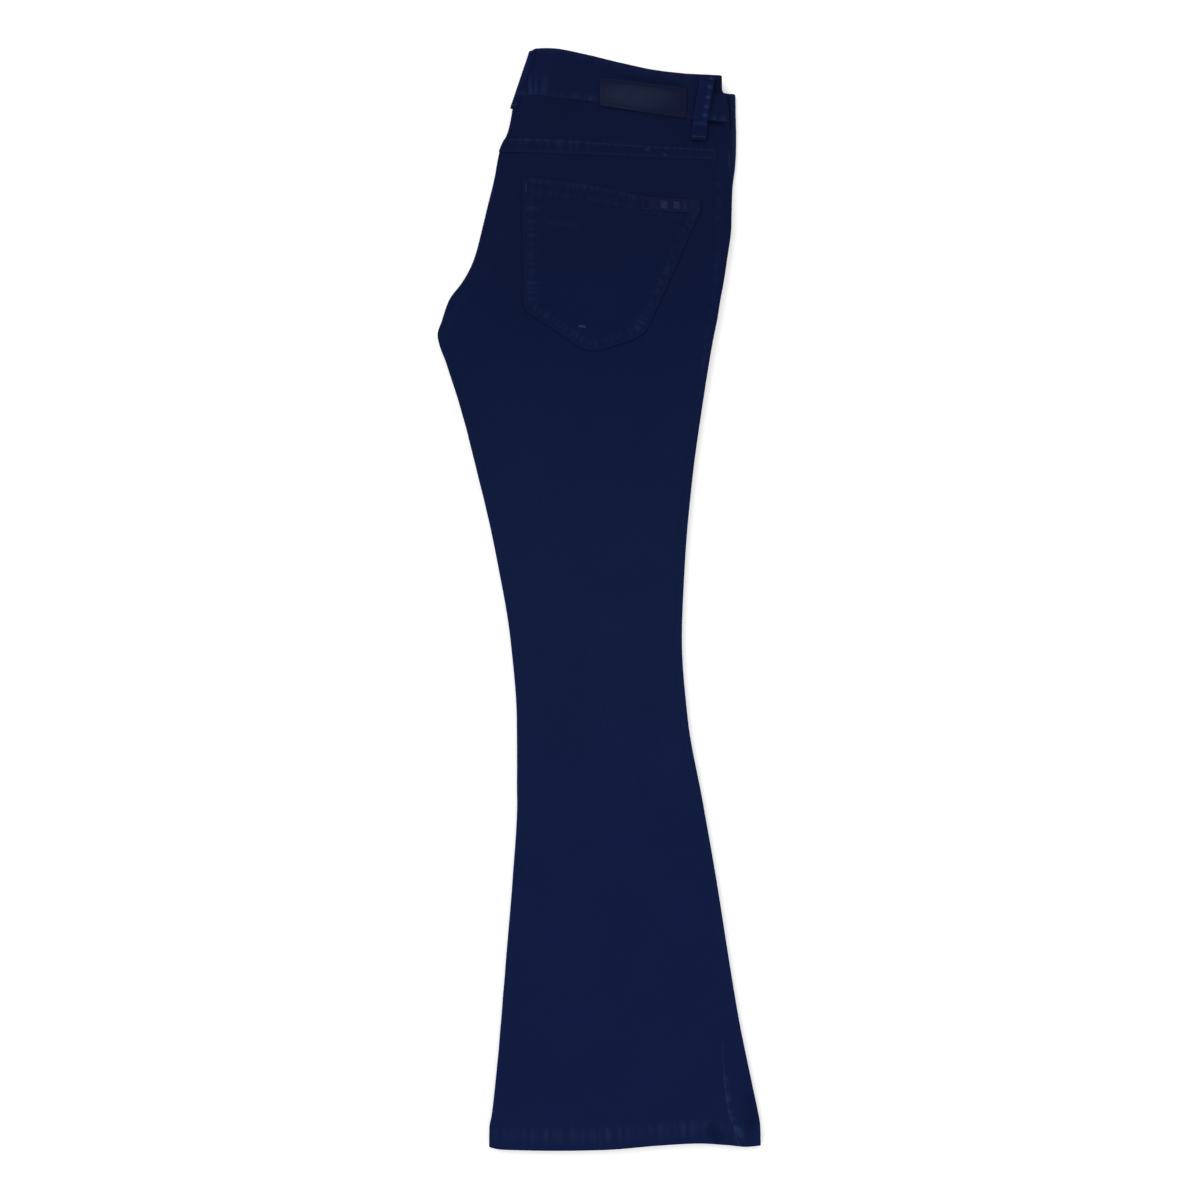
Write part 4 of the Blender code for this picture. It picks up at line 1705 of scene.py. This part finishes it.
@dataclass(kw_only=True)
class Yoke(Panel):
    """A back yoke between the waistband and the back leg, lapped over the leg in a felled seam."""

    sunk: float = 0.35
    lap_head: float = 461.3
    tuck: float = 3.0
    upper_row: float = 459.6
    lower_row: float = 449.8
    fine: float = 1.3
    cut: Cut = Cut(0.245, 0.068, 0.0128)

    # The small box of stitches at the outer corner; the under half's lies 6 mm lower.
    BOX = ((105.0, 452.0), (114.5, 451.2), (114.5, 442.0), (105.0, 442.8), (105.0, 452.0))
    # Start, end, width, height, bow and wear of the creases; wear below zero is painted shade,
    # under the waistband's foot and under the loop's foot tack.
    CREASES = (
        (-84, 486, -30, 470, 5, 0.5, 2), (-30, 492, 20, 466, 6, -0.5, -2),
        (30, 480, 78, 462, 5, 0.5, 2), (-66, 478, -58, 462, 3.5, -0.5),
        (70, 474, 92, 462, 4, -0.6), (94, 477.6, 130, 474.6, 2.6, -0.5, 0, -1),
        (87, 458.4, 110, 457.6, 1.8, -0.3, 0, -0.5), (45, 449.8, 51, 448.8, 1.3, 0.2, 0, 0.35),
        (62.5, 444.6, 68, 444, 1.3, 0.2, 0, 0.35),
    )  # fmt: skip

    def __post_init__(self) -> None:
        """Set out the rows of the grid, and the relief."""
        self.rows = spaced(
            (BAND_FOOT + self.tuck, BAND_FOOT - 4.0, self.fine),
            (BAND_FOOT - 4.0, 466.0, 1.6 * self.fine),
            (466.0, YOKE_FOOT, 0.75 * self.fine),
        )
        super().__post_init__()
        self.lap, self.box_drop = (0.6, 0.0) if self.upper else (0.2, 6.0)

    def set_relief(self) -> None:
        """Add the puckers of the felled seam, and soft folds under the waistband."""
        relief, height = self.relief, 0.4 if self.upper else 0.3
        upper, lower, band = (
            FORM.row_line(row, self.half, 6.0, FORM.outseam(row, self.half))
            for row in (self.upper_row, self.lower_row, BAND_FOOT)
        )
        relief.puckers(
            upper, (8.4, height, 2, 3.2, 0.9, 0.1), (9, height, 3, 8, 0.4, 0.16, 4, 90)
        )
        relief.puckers(lower, (7.7, 0.75 * height, 3, 2, 2.2, 0.04))
        relief.troughs(upper, lower)
        relief.puckers(band, (15, 0.35, 1, 11, 1.1, 0))
        if self.upper:
            relief.creases(*self.CREASES)

    def lapped(self, rows: Array) -> Array:
        """Extra height where the seam's turned-in cloth lies under the yoke."""
        return self.lap * soft_step((self.lap_head - rows) / 1.4)

    def height(self, x: Array, y: Array) -> Array:
        """Height of the outer face at points in the plan."""
        rows = FORM.row_at(x, y, self.half)
        return FORM.face(x, rows, self.half) + self.side * (self.lift(x, y) + self.lapped(rows))

    def shape(self) -> Cloth:
        """The yoke's closed shape.

        Returns:
            The shape.
        """
        face = self.rolled_face(7, shares_of((0.0, 212.0, self.fine), (212.0, 219.0, 0.7))[1:])
        x, y = face[..., 0], face[..., 1]
        lift = self.lift(x, y) + self.lapped(self.rows)[:, None] - self.pressed()
        wear = self.relief.wear(x, y) + 0.08 * bell(self.rows - YOKE_FOOT, 1.2)[:, None]
        return Cloth(face, self.cloth, self.side, lift, wear, self.rows)

    def sew(self, shape: Cloth, stitches: StitchWork, tacks: StitchWork) -> None:
        """Sew the felled seam, the box at its end and the rolled edge.

        Args:
            shape: the yoke's shape.
            stitches: where the rows of stitches go.
            tacks: where bar tacks would go; not used.
        """
        for row, wear in ((self.upper_row, 0.5), (self.lower_row, 0.1)):
            stitches.row(shape.row_path(row), TOP_STITCH, wear)
        box = [(x, y - self.box_drop) for x, y in self.BOX]
        for ends in zip(box, box[1:]):
            stitches.on_surface(Line(ends), self.height, self.side, FINE_STITCH)
        self.sew_roll(shape, stitches, 452.0, 502.0)


@dataclass(kw_only=True)
class Waistband(SewnPiece):
    """The doubled waistband, from the right centre front round the back to the left one."""

    name: str = "waistband_cloth"
    nodes: tuple[str, ...] = ("waistband",)
    cloth: float = 2.1
    stitch_inset: float = 2.6
    front_edge: float = -50.0
    cut: Cut = Cut(0.76, 0.047, 0.0354)

    FINISH = BAND_DENIM
    # Start, end, width, height, bow and wear of the creases; wear below zero is painted shade,
    # above the patch and right of the loop.
    CREASES = (
        (-46, 534, 26, 525, 4.5, -0.7, 3), (-80, 512, -44, 520, 6, 0.6, 1),
        (-38, 505, -4, 503, 4.5, 0.5), (-62, 545, -56, 512, 5, -0.4, 1.5),
        (112, 520, 121, 486, 5, -0.7, 1), (94, 521, 92, 486, 5, 0.5, -1),
        (0, 526, 96, 512.5, 3.2, -0.6, -1, -0.4), (117, 524, 118.5, 502, 5, -0.6, 0, -0.7),
    )  # fmt: skip

    def __post_init__(self) -> None:
        """Set out the rows, and the ridges of the upper half."""
        self.stitched = (BAND_HEAD - self.stitch_inset, BAND_FOOT + self.stitch_inset)
        self.rows = spaced(
            (BAND_HEAD, BAND_HEAD - 8.0, 0.9),
            (BAND_HEAD - 8.0, BAND_FOOT + 9.0, 1.9),
            (BAND_FOOT + 9.0, BAND_FOOT, 0.9),
        )
        self.relief = relief = Relief()
        head, foot = (FORM.row_line(row, Half.UPPER, 6.0) for row in self.stitched)
        relief.puckers(head, (12.5, 0.22, 2.5, 4, 1.7, 0.12))
        relief.puckers(
            foot, (9.5, 0.3, 4, 2.5, 0.5, 0.16), (7.8, 0.6, 17, 3, 0.2, 0.36, 2, 40),
            (11, 0.6, 3, 3, 0.7, 0.8, 196, 214), (9, 0.5, 2.5, 2.5, 0.1, 0.6, 70, 84),
        )  # fmt: skip
        relief.troughs(head, foot)
        relief.add(Swell(0.3, 75.0, 1.2))
        relief.creases(*self.CREASES)

    def half_face(self, half: Half) -> tuple[Array, Array]:
        """One half of the outer face, from the centre front inside it to the centre-back fold.

        Args:
            half: the half.

        Returns:
            An array of rows, columns and X, Y and Z, and the half's value for the columns that
            show, 0 for those inside.
        """
        rows, gap = self.rows[:, None], PILE.gap / 2.0
        if half is Half.UPPER:
            radius, face, step = (PILE.band_top - PILE.middle - gap) / 2.0, PILE.band_top, 1.45
        else:
            radius, face, step = (PILE.middle - PILE.rest - gap) / 2.0, -PILE.rest, 2.8
        turn_x, start = FORM.edge(rows, half) - radius, FORM.inner(rows) + PILE.band_fold
        front = self.front_edge + (turn_x - self.front_edge) * shares_of((0.0, 170.0, 3.2))[:-1]
        back = turn_x + (start - turn_x) * shares_of((0.0, 196.0, step))[1:]
        parts = (
            section(front, face - 2.0 * radius),
            arc(turn_x, face - radius, radius, -90.0, 90.0, 12),
            section(back, FORM.band_face(back, rows, half) * half.value),
        )
        x, z = np.moveaxis(np.concatenate(parts, axis=1), -1, 0)
        way = np.clip((turn_x - x) / (turn_x - self.front_edge), 0.0, 1.0)
        way = way * (np.arange(x.shape[1]) < front.shape[1])
        y = FORM.line_y(rows, x, half) - FORM.front_drop(rows) * way
        return stacked(x, y, z * half.value), half.value * (way[0] == 0.0)

    def shape(self) -> Cloth:
        """The band's closed shape, from the right centre front to the left one.

        Returns:
            The shape.
        """
        rows, fold = self.rows[:, None], PILE.band_fold
        turn = arc(FORM.inner(rows) + fold, PILE.rest + fold, fold, 90.0, 270.0, 16)[:, 1:-1]
        turn_y = FORM.line_y(rows, turn[..., 0], Half.UPPER)
        (right, above), (left, below) = (self.half_face(half) for half in Half)
        middle = stacked(turn[..., 0], turn_y, turn[..., 1])
        face = np.concatenate([right, middle, left[:, ::-1]], axis=1)
        flags = np.concatenate([above, np.linspace(1.0, -1.0, turn.shape[1]), below[::-1]])
        upper, under = np.clip(flags, 0.0, 1.0), np.clip(-flags, 0.0, 1.0)
        x, y = face[..., 0], face[..., 1]
        lift = self.relief.lift(x, y)
        lift = lift * upper + np.minimum(0.6 * lift - 0.3, 0.0) * under
        # The under half is painted lighter, as painted light on its edge that shows in the upper
        # half's shade.
        wear = self.relief.wear(x, y) * np.maximum(upper, 0.6 * under) + 0.2 * under
        wear = wear + 0.12 * bell(self.rows - BAND_HEAD, 1.3)[:, None]
        wear = wear + 0.12 * bell(self.rows - BAND_FOOT, 1.0)[:, None]
        return Cloth(face, self.cloth, -1.0, lift, wear, self.rows)

    def sew(self, shape: Cloth, stitches: StitchWork, tacks: StitchWork) -> None:
        """Sew along the band's head and foot."""
        for row in self.stitched:
            stitches.row(shape.row_path(row, 1, -1), TOP_STITCH)


@dataclass(kw_only=True)
class FlatPiece(SewnPiece):
    """A flat piece inside an outline, laid on the cloth that carries it."""

    slip: float = 0.0
    side: float = 1.0
    sunk: float = 0.25

    def __post_init__(self) -> None:
        """Close the outline, and round its corners a little."""
        self.outline = [(x, y + self.slip) for x, y in self.OUTLINE]
        self.closed = Line([*self.outline, self.outline[0]])
        self.ring = self.closed.resampled(self.STEP).points[:-1]
        for _ in range(self.ROUNDING):
            beside = np.roll(self.ring, 1, axis=0) + np.roll(self.ring, -1, axis=0)
            self.ring = 0.5 * self.ring + 0.25 * beside

    def inside(self, x: Array, y: Array) -> Array:
        """How far points lie inside the outline, below zero outside it."""
        return -self.closed.project(x, y)[1]

    def carrier(self, x: Array, y: Array) -> Array:
        """Height of what the piece lies on."""
        raise NotImplementedError

    def bottom(self, x: Array, y: Array) -> Array:
        """Height of the piece's inner face at points in the plan."""
        return self.carrier(x, y) - self.side * self.sunk

    def shape(self) -> Plate:
        """The piece's closed shape."""
        shares = np.concatenate([np.linspace(*stretch) for stretch in self.RINGS])
        return Plate(self.ring, shares, self.bottom, self.height, self.side, self.wear)


@dataclass(kw_only=True)
class BackPocket(FlatPiece):
    """A patch pocket on a back leg, with a turned mouth and two rows of stitches round it."""

    leg: BackLeg
    cloth: float = 1.1
    turned: float = 0.35
    turned_width: float = 9.0
    mouth_width: float = 13.5
    mouth_inset: float = 1.9
    edge_inset: float = 2.2
    pucker_inset: float = 4.4
    second_inset: float = 8.4
    cut: Cut = Cut(0.176, 0.175, 0.0235)

    HELD = Held.LAID
    OUTLINE = (
        (-76.5, 421.0), (-39.5, 417.2), (0.5, 411.7), (40.5, 402.5), (101.5, 391.0),
        (79.5, 341.0), (50.0, 277.0), (46.0, 268.0), (36.0, 261.0), (8.0, 251.5), (-5.0, 249.0),
        (-13.0, 249.5), (-20.0, 253.0), (-66.0, 283.5), (-72.0, 287.5), (-75.0, 294.0),
    )  # fmt: skip
    STEP, ROUNDING, RINGS = 1.7, 3, ((1.0, 0.76, 25), (0.74, 0.04, 24))
    MOUTH_POINTS = 5
    # Puckers down the right side and up the left: pitch, height, left and right reach, seed, wear
    # and span.
    SIDE_PUCKERS = (
        (11.5, 0.5, 1.3, 3.8, 0.4, 0.17, 4, 128), (7.5, 0.7, 1.3, 9.5, 1.3, 0.26, 120, 150),
        (8, 0.6, 1.3, 5, 2.6, 0.15, 150, 200), (7, 0.75, 1.3, 7.5, 2.2, 0.26, 196, 238),
        (8.5, 0.5, 1.3, 6, 2.2, 0.14, 234, 268), (6.2, 0.8, 1.3, 10, 0.8, 0.25, 262, 294),
        (8, 0.45, 1.3, 8, 1.8, 0.13, 290, 330), (9, 0.85, 1.3, 12, 0.1, 0.3, 322, 368),
    )  # fmt: skip
    # Start, end, width, height, bow and wear of the creases; the wide trough's wear below zero is
    # painted shade.
    CREASES = (
        (-52, 390, 20, 352, 9, 0.5, 4), (-40, 330, 30, 300, 10, -0.5, 4),
        (70, 378, 44, 330, 6, -0.5, -2), (-20, 402, 34, 389, 3.5, 0.35, 0.5),
        (-60, 376.5, -14, 371, 2.8, 0.4, 1, 0.07), (-26, 386, 96, 356, 20, -0.2, 0, -0.12),
    )  # fmt: skip
    # Ends, width and wear of the bar tacks; the last is on the upper pocket only.
    TACKS = (
        (-73.6, 417.0, -73.4, 406.0, 1.8, 0.3),
        (97.0, 388.5, 92.6, 378.5, 1.8, 0.3),
        (-20.6, 272.9, -13.8, 271.9, 3.0, 1.0),
    )

    def __post_init__(self) -> None:
        """Set out the pocket's lines and ridges."""
        super().__post_init__()
        self.side, self.upper = self.leg.side, self.leg.upper
        corner = self.MOUTH_POINTS - 1
        self.mouth = Line(self.outline[: corner + 1])
        sides = Line([*self.outline[corner:], self.outline[0]]).resampled(4.0)
        edge, second = (sides.beside(-inset) for inset in (self.edge_inset, self.second_inset))
        head, seam = self.mouth_row(self.mouth_inset), self.mouth_row(self.mouth_width)
        self.stitched = (edge, second, head, seam)

        self.relief = relief = Relief()
        share = 1.0 if self.upper else 0.5
        side_puckers = ((row[0], share * row[1], *row[2:]) for row in self.SIDE_PUCKERS)
        relief.puckers(sides.beside(-self.pucker_inset), *side_puckers)
        relief.puckers(second, (6.4, 0.25 * share, 3, 3.5, 1.9, 0.08))
        relief.puckers(head, (6.8, 0.35 * share, 2, 3, 2.6, 0.2))
        relief.puckers(
            seam,
            (7.4, 0.35 * share, 4, 4, 1.2, 0.13),
            (9.5, 0.5 * share, 10, 3, 0.6, 0.22, 78, 112),
        )
        relief.troughs(*self.stitched)
        if self.upper:
            relief.add(Swell(0.22, 80.0, 0.9))
            relief.creases(*self.CREASES)

    def mouth_row(self, inset: float) -> Line:
        """A row of stitches below the mouth, which ends inside the pocket's sides."""
        row = self.mouth.resampled(3.0).beside(-inset).points
        return Line(row[self.inside(*row.T) > 1.6])

    def carrier(self, x: Array, y: Array) -> Array:
        """Height of the leg under the pocket."""
        return self.leg.height(x, y)

    def height(self, x: Array, y: Array) -> Array:
        """Height of the pocket's outer face.

        Args:
            x: X of the points.
            y: Y of the points.

        Returns:
            The height at each point.
        """
        turned = 1.0 - soft_step((self.inside(x, y) - self.turned_width) / 1.4)
        below = -self.mouth.project(x, y)[1] - self.mouth_width - 1.5
        lift = self.relief.lift(x, y)
        lift = lift + self.turned * np.maximum(turned, 1.0 - soft_step(below / 1.4))
        if not self.upper:
            lift = np.minimum(lift, self.turned) - 0.1
        return self.carrier(x, y) + self.side * (self.cloth + lift)

    def wear(self, x: Array, y: Array) -> Array:
        """Wear of the ridges and of the outline's edge, and the painted shade of a trough."""
        return np.clip(self.relief.wear(x, y) + 0.04 * bell(self.inside(x, y), 1.3), -1.0, 1.0)

    def sew(self, shape: Plate, stitches: StitchWork, tacks: StitchWork) -> None:
        """Sew round the pocket and tack its corners.

        Args:
            shape: the pocket's shape; not used.
            stitches: where the rows of stitches go.
            tacks: where the bar tacks go.
        """
        for row in self.stitched:
            stitches.on_surface(row, self.height, self.side, TOP_STITCH)
        for x1, y1, x2, y2, *rest in self.TACKS if self.upper else self.TACKS[:2]:
            tacks.tack((x1, y1 + self.slip, x2, y2 + self.slip, *rest), self.height, self.side)


@dataclass(kw_only=True)
class LeatherPatch(FlatPiece):
    """A bare leather patch sewn on the waistband beside the right loop."""

    band: Waistband
    name: str = "leather_patch"
    nodes: tuple[str, ...] = ("waistband_patch",)
    thickness: float = 1.2
    stitch_inset: float = 2.6

    FINISH, SLOT, THREAD = PATCH_LEATHER, Slot.LEATHER, PATCH_THREAD
    OUTLINE = ((1.0, 520.5), (87.5, 510.0), (85.5, 481.0), (1.0, 493.5))
    STEP, ROUNDING, RINGS = 1.25, 2, ((1.0, 0.7, 12), (0.66, 0.05, 14))

    def __post_init__(self) -> None:
        """Set out the outline, and the soft waves of the leather."""
        super().__post_init__()
        self.relief = Relief()
        self.relief.creases(
            (6, 516, 84, 506, 5, 0.3, 1), (20, 500, 70, 489, 5, -0.35, 1.5),
            (45, 516, 49, 486, 7, -0.3, 1),
        )  # fmt: skip

    def carrier(self, x: Array, y: Array) -> Array:
        """Height of the band under the patch, which bridges the band's small ridges."""
        return FORM.band_surface(x, y) + 0.55 * self.band.relief.lift(x, y) + 0.1

    def height(self, x: Array, y: Array) -> Array:
        """Height of the patch's upper face."""
        groove = 0.3 * bell(self.inside(x, y) - self.stitch_inset, 0.9)
        return self.carrier(x, y) + self.thickness + self.relief.lift(x, y) - groove

    def wear(self, x: Array, y: Array) -> Array:
        """Wear along the patch's edge, and painted shade along its top edge."""
        below = Line(self.OUTLINE[:2]).project(x, y)[1]
        # Painted shade darkens the patch along its top edge.
        return 0.1 * bell(self.inside(x, y), 0.9) - 1.2 * bell(below, 4.0)

    def sew(self, shape: Plate, stitches: StitchWork, tacks: StitchWork) -> None:
        """Sew the patch's border."""
        border = self.closed.resampled(2.0).beside(-self.stitch_inset)
        stitches.on_surface(border, self.height, 1.0, TOP_STITCH)


@dataclass(kw_only=True)
class PocketTab(FlatPiece):
    """A plain woven tab across the right pocket's outer corner, held by bar tacks."""

    pocket: BackPocket
    name: str = "woven_tab"
    nodes: tuple[str, ...] = ("pocket_tab",)
    thickness: float = 0.9
    sunk: float = 0.12
    bar_reach: float = 3.6
    cut: Cut = Cut(0.059, 0.0128, 0.00074)

    FINISH, SLOT, HELD = TAB_TAPE, Slot.WOVEN, Held.LAID
    OUTLINE = ((41.5, 402.0), (100.5, 398.0), (100.0, 385.5), (41.5, 389.5))
    STEP, ROUNDING, RINGS = 1.0, 1, ((1.0, 0.8, 6), (0.74, 0.05, 10))
    MIDDLE = ((41.5, 100.5), (395.75, 391.75))  # X and Y of the ends of the tab's middle
    # X, width and wear of each bar tack.
    BARS = (
        (46.0, 7.4, 0.0), (54.8, 7.4, 0.1), (64.6, 9.0, 0.46),
        (76.8, 8.0, 0.42), (85.6, 3.4, 0.22), (94.0, 7.2, 0.1),
    )  # fmt: skip

    def carrier(self, x: Array, y: Array) -> Array:
        """Height of the pocket or the leg under the tab."""
        share = soft_step((self.pocket.inside(x, y) + 2.6) / 3.4)
        return self.pocket.carrier(x, y) + (self.pocket.cloth + self.pocket.turned) * share

    def height(self, x: Array, y: Array) -> Array:
        """Height of the tab's upper face."""
        return self.carrier(x, y) + self.thickness

    def wear(self, x: Array, y: Array) -> Array:
        """Wear along the tab's edge."""
        return 0.12 * bell(self.inside(x, y), 0.7)

    def sew(self, shape: Plate, stitches: StitchWork, tacks: StitchWork) -> None:
        """Sew the bar tacks.

        Args:
            shape: the tab's shape; not used.
            stitches: where rows of stitches would go; not used.
            tacks: where the bar tacks go.
        """
        for x, width, wear in self.BARS:
            y, reach = float(np.interp(x, *self.MIDDLE)), self.bar_reach
            tacks.tack((x, y + reach, x, y - reach, width, wear), self.height, 1.0)


@dataclass(kw_only=True)
class BeltLoop(SewnPiece):
    """A belt loop of folded cloth, from the waistband's top edge to its tack on the yoke."""

    stations: tuple[Triple, ...] = ()  # X, Y and lift down its middle
    side: float = 1.0
    base: float = 0.0
    width: float = 13.4
    cloth: float = 1.25
    tack_reach: float = 0.5
    cut: Cut = Cut(0.0138, 0.066, 0.0009)

    FINISH, SLOT = TRIM_DENIM, Slot.TRIM

    def grid(self) -> tuple[Array, Array, Array]:
        """The loop's outer face.

        Returns:
            Its points, and the distances of their rows along the loop and of their columns
            across it.
        """
        table = np.array(self.stations).T
        stops = travelled(table[:2].T)
        along = spaced((0.0, stops[-1], 0.8))
        x, y, lift = (Curve(stops, values)(along)[:, None] for values in table)
        run_x, run_y = np.gradient(x, axis=0), np.gradient(y, axis=0)
        size = np.hypot(run_x, run_y)
        across = np.linspace(-self.width / 2.0, self.width / 2.0, 21)
        z = self.base + self.side * (lift + self.cloth) + 0.0 * across
        return stacked(x - run_y / size * across, y + run_x / size * across, z), along, across

    def shape(self) -> Cloth:
        """The loop's closed shape.

        Returns:
            The shape, with its folded edges, its puckers and its turned foot.
        """
        points, along, across = self.grid()
        s, t, length = along[:, None], across[None], along[-1]
        folded = soft_step((s - 0.74 * length) / 1.5) * 0.55
        ridge = 0.3 * bell(np.abs(t) - 4.2, 1.3) + 0.12 * bell(t, 1.0)
        wave = np.cos(2.0 * math.pi * (s / 9.6 + 0.07 * np.sin(s / 5.0)))
        wave = wave * soft_step((t + 1.0) / 5.0)
        lift = folded + ridge + 0.32 * wave - 0.25 * bell(np.abs(t) - 5.3, 0.5)
        lift = lift if self.side > 0.0 else np.minimum(lift, 0.0)
        crest = np.clip(wave, 0.0, 1.0) ** 2 * bell(t - 2.8, 3.8)
        wear = 0.9 * crest * soft_step((0.7 * length - s) / 4.0) + 0.1 * bell(t - 4.2, 1.4)
        # Paler along the folded step, and painted shade darkens the loop's foot.
        wear = wear + 0.2 * bell(s - 0.75 * length, 1.4) - 0.4 * soft_step(s / length * 16.0 - 12.3)
        return Cloth(points, self.cloth + folded, self.side, lift, wear, -along)

    def sew(self, shape: Cloth, stitches: StitchWork, tacks: StitchWork) -> None:
        """Sew both edges, and a bar tack at the head and at the foot.

        Args:
            shape: the loop's shape.
            stitches: where the rows of stitches go.
            tacks: where the bar tacks go; the foot's reaches past the loop on both sides.
        """
        for column in (2, 18):
            stitches.row(shape.column_path(column), FINE_STITCH)
        points, normals = shape.face
        tacks.row((points[3, 1:-1], normals[3, 1:-1]), TACK_STITCH)
        foot, up = points[-4], normals[-4]
        out = unit(foot[-1] - foot[0]) * self.tack_reach
        ends = foot[[0, -1]] + np.stack([-out, out]) - up[[0, -1]] * 0.5
        tacks.row((np.concatenate([ends[:1], foot[1:-1], ends[1:]]), up), FOOT_TACK, 0.5)


@dataclass(kw_only=True)
class FoldLoop(BeltLoop):
    """The centre-back loop, which wraps the fold from one side of the band to the other."""

    side: float = -1.0
    cloth: float = 0.95
    tack_reach: float = 0.0
    reach: float = 2.6
    foot: float = 12.0
    cut: Cut = Cut(0.0206, 0.0586, 0.0012)

    def grid(self) -> tuple[Array, Array, Array]:
        """The loop's outer face.

        Returns:
            Its points, and the distances of their rows along the loop and of their columns
            across it.
        """
        rows = spaced((BAND_HEAD - 2.2, BAND_FOOT - self.foot, 0.8))
        head, foot = float(FORM.inner(BAND_HEAD)), float(FORM.inner(BAND_FOOT))
        slope, fold = (head - foot) / (BAND_HEAD - BAND_FOOT), PILE.band_fold
        centre = foot + slope * (rows - BAND_FOOT) + fold
        turn = arc(centre[:, None], PILE.rest + fold, fold + 0.12 + self.cloth, 90.0, 270.0, 18)
        ends = (turn[:, :1] + (self.reach, -0.05), turn[:, -1:] + (self.reach, 0.1))
        x, z = np.moveaxis(np.concatenate([ends[0], turn, ends[1]], axis=1), -1, 0)
        across = np.linspace(-self.width / 2.0, self.width / 2.0, x.shape[1])
        return stacked(x, rows[:, None] + 0.0 * x, np.maximum(z, 0.05)), rows[0] - rows, across


# ------------------------------------------------------------------------------------ the studio


@dataclass
class Studio:
    """Plain pale paper, soft lights and a camera straight above."""

    centre: Point = (0.5, -1.0)
    view_height: float = 3345.0
    lens: float = 100.0
    floor_size: float = 60.0
    floor_height: float = -0.3
    world_strength: float = 0.85

    def place(self, name: str, data: bpy.types.ID, where: Triple = (0.0, 0.0, 0.0)) -> Piece:
        """Put a camera, a light or a mesh in the scene.

        Args:
            name: its name.
            data: the camera, the light or the mesh.
            where: its place in metres.

        Returns:
            The object.
        """
        made = bpy.data.objects.new(name, data)
        made.location = where
        bpy.context.scene.collection.objects.link(made)
        return made

    def camera(self) -> None:
        """Set the camera above the jeans, looking straight down with the waist up."""
        data = bpy.data.cameras.new("camera")
        data.lens, data.sensor_width, data.clip_end = self.lens, 36.0, 80.0
        where = (self.centre[0] * MM, self.centre[1] * MM, self.view_height * MM)
        bpy.context.scene.camera = self.place("camera", data, where)

    def floor(self) -> None:
        """Lay the paper under the jeans."""
        mesh = bpy.data.meshes.new("studio_floor")
        half, z = self.floor_size / 2.0, self.floor_height * MM
        corners = [(-half, -half, z), (half, -half, z), (half, half, z), (-half, half, z)]
        mesh.from_pydata(corners, [], [(0, 1, 2, 3)])
        mesh.materials.append(material_of(StudioPaper()))
        self.place("studio_floor", mesh)

    def light(self, name: str, where: Triple, size: float, power: float) -> None:
        """Add a soft square light that points at the jeans.

        Args:
            name: the light's name.
            where: where it hangs, in metres.
            size: its width in metres.
            power: its power in watts.
        """
        lamp = bpy.data.lights.new(name, "AREA")
        lamp.size, lamp.energy = size, power
        turn = Vector(where).to_track_quat("Z", "Y").to_euler()
        self.place(name, lamp, where).rotation_euler = turn

    def lights(self) -> None:
        """Hang the lights, and set the world and the view's transform."""
        self.light("key_light", (-3.2, 3.4, 4.4), 4.5, 160.0)
        self.light("fill_light", (3.6, -1.6, 4.4), 4.0, 37.0)
        world = bpy.data.worlds.new("studio_world")
        world.use_nodes = True
        backdrop = world.node_tree.nodes["Background"]
        backdrop.inputs["Color"].default_value = (1.0, 1.0, 1.0, 1.0)
        backdrop.inputs["Strength"].default_value = self.world_strength
        bpy.context.scene.world = world
        bpy.context.scene.view_settings.view_transform = "Standard"


# --------------------------------------------------------------------------------- the garment


class FoldedJeans:
    """All the sub-assemblies of the folded jeans, in the order of sewing."""

    BACK_LOOP = (
        (107.7, 521.0, 1.3), (106.0, 510.0, 2.2), (104.0, 498.0, 2.6), (102.2, 487.0, 2.1),
        (100.8, 477.5, 1.4), (99.8, 468.5, 0.9), (99.0, 459.5, 0.9),
    )  # fmt: skip
    UNDER_LOOP = ((111.0, 504.0, 0.0), (107.0, 474.0, 0.0), (105.0, 449.0, 0.0))

    def parts(self) -> list[SewnPiece]:
        """Every sub-assembly, set out.

        Returns:
            The sub-assemblies.
        """
        upper, under = Half.UPPER, Half.UNDER
        hidden = "folded_front_layers"
        right = BackLeg(name="back_leg_right", nodes=("right_back_panel",), half=upper)
        left = BackLeg(name="back_leg_left", nodes=("left_back_panel",), half=under, fine=3.6)
        band, node = Waistband(), "right_back_pocket"
        pocket = BackPocket(name="back_pocket_right", nodes=(node,), leg=right)
        return [
            right,
            left,
            FrontLeg(name="front_leg_right", nodes=("right_front_panel", hidden), half=upper),
            FrontLeg(name="front_leg_left", nodes=("left_front_panel",), half=under),
            Yoke(name="yoke_right", nodes=("right_back_yoke",), half=upper),
            Yoke(name="yoke_left", nodes=("left_back_yoke",), half=under, fine=2.0),
            band,
            pocket,
            BackPocket(name="back_pocket_left", nodes=("left_back_pocket",), leg=left, slip=-3.0),
            PocketTab(pocket=pocket),
            LeatherPatch(band=band),
            BeltLoop(
                name="loop_right_back",
                nodes=("belt_loop_right_back",),
                stations=self.BACK_LOOP,
                base=PILE.hip_top,
            ),
            BeltLoop(
                name="loop_left_back",
                nodes=("belt_loop_left_back",),
                stations=self.UNDER_LOOP,
                side=-1.0,
                base=1.3,
            ),
            FoldLoop(name="loop_centre_back", nodes=("belt_loop_centre_back",)),
        ]


def main() -> None:
    """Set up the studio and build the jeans."""
    logging.basicConfig(level=logging.INFO, format="%(message)s")
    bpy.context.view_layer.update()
    studio = Studio()
    studio.camera()
    studio.floor()
    studio.lights()
    for part in FoldedJeans().parts():
        for piece in part.build():
            LOG.info("%s %s: %d faces", type(part).__name__, piece.name, len(piece.data.polygons))


if __name__ == "__main__":
    main()
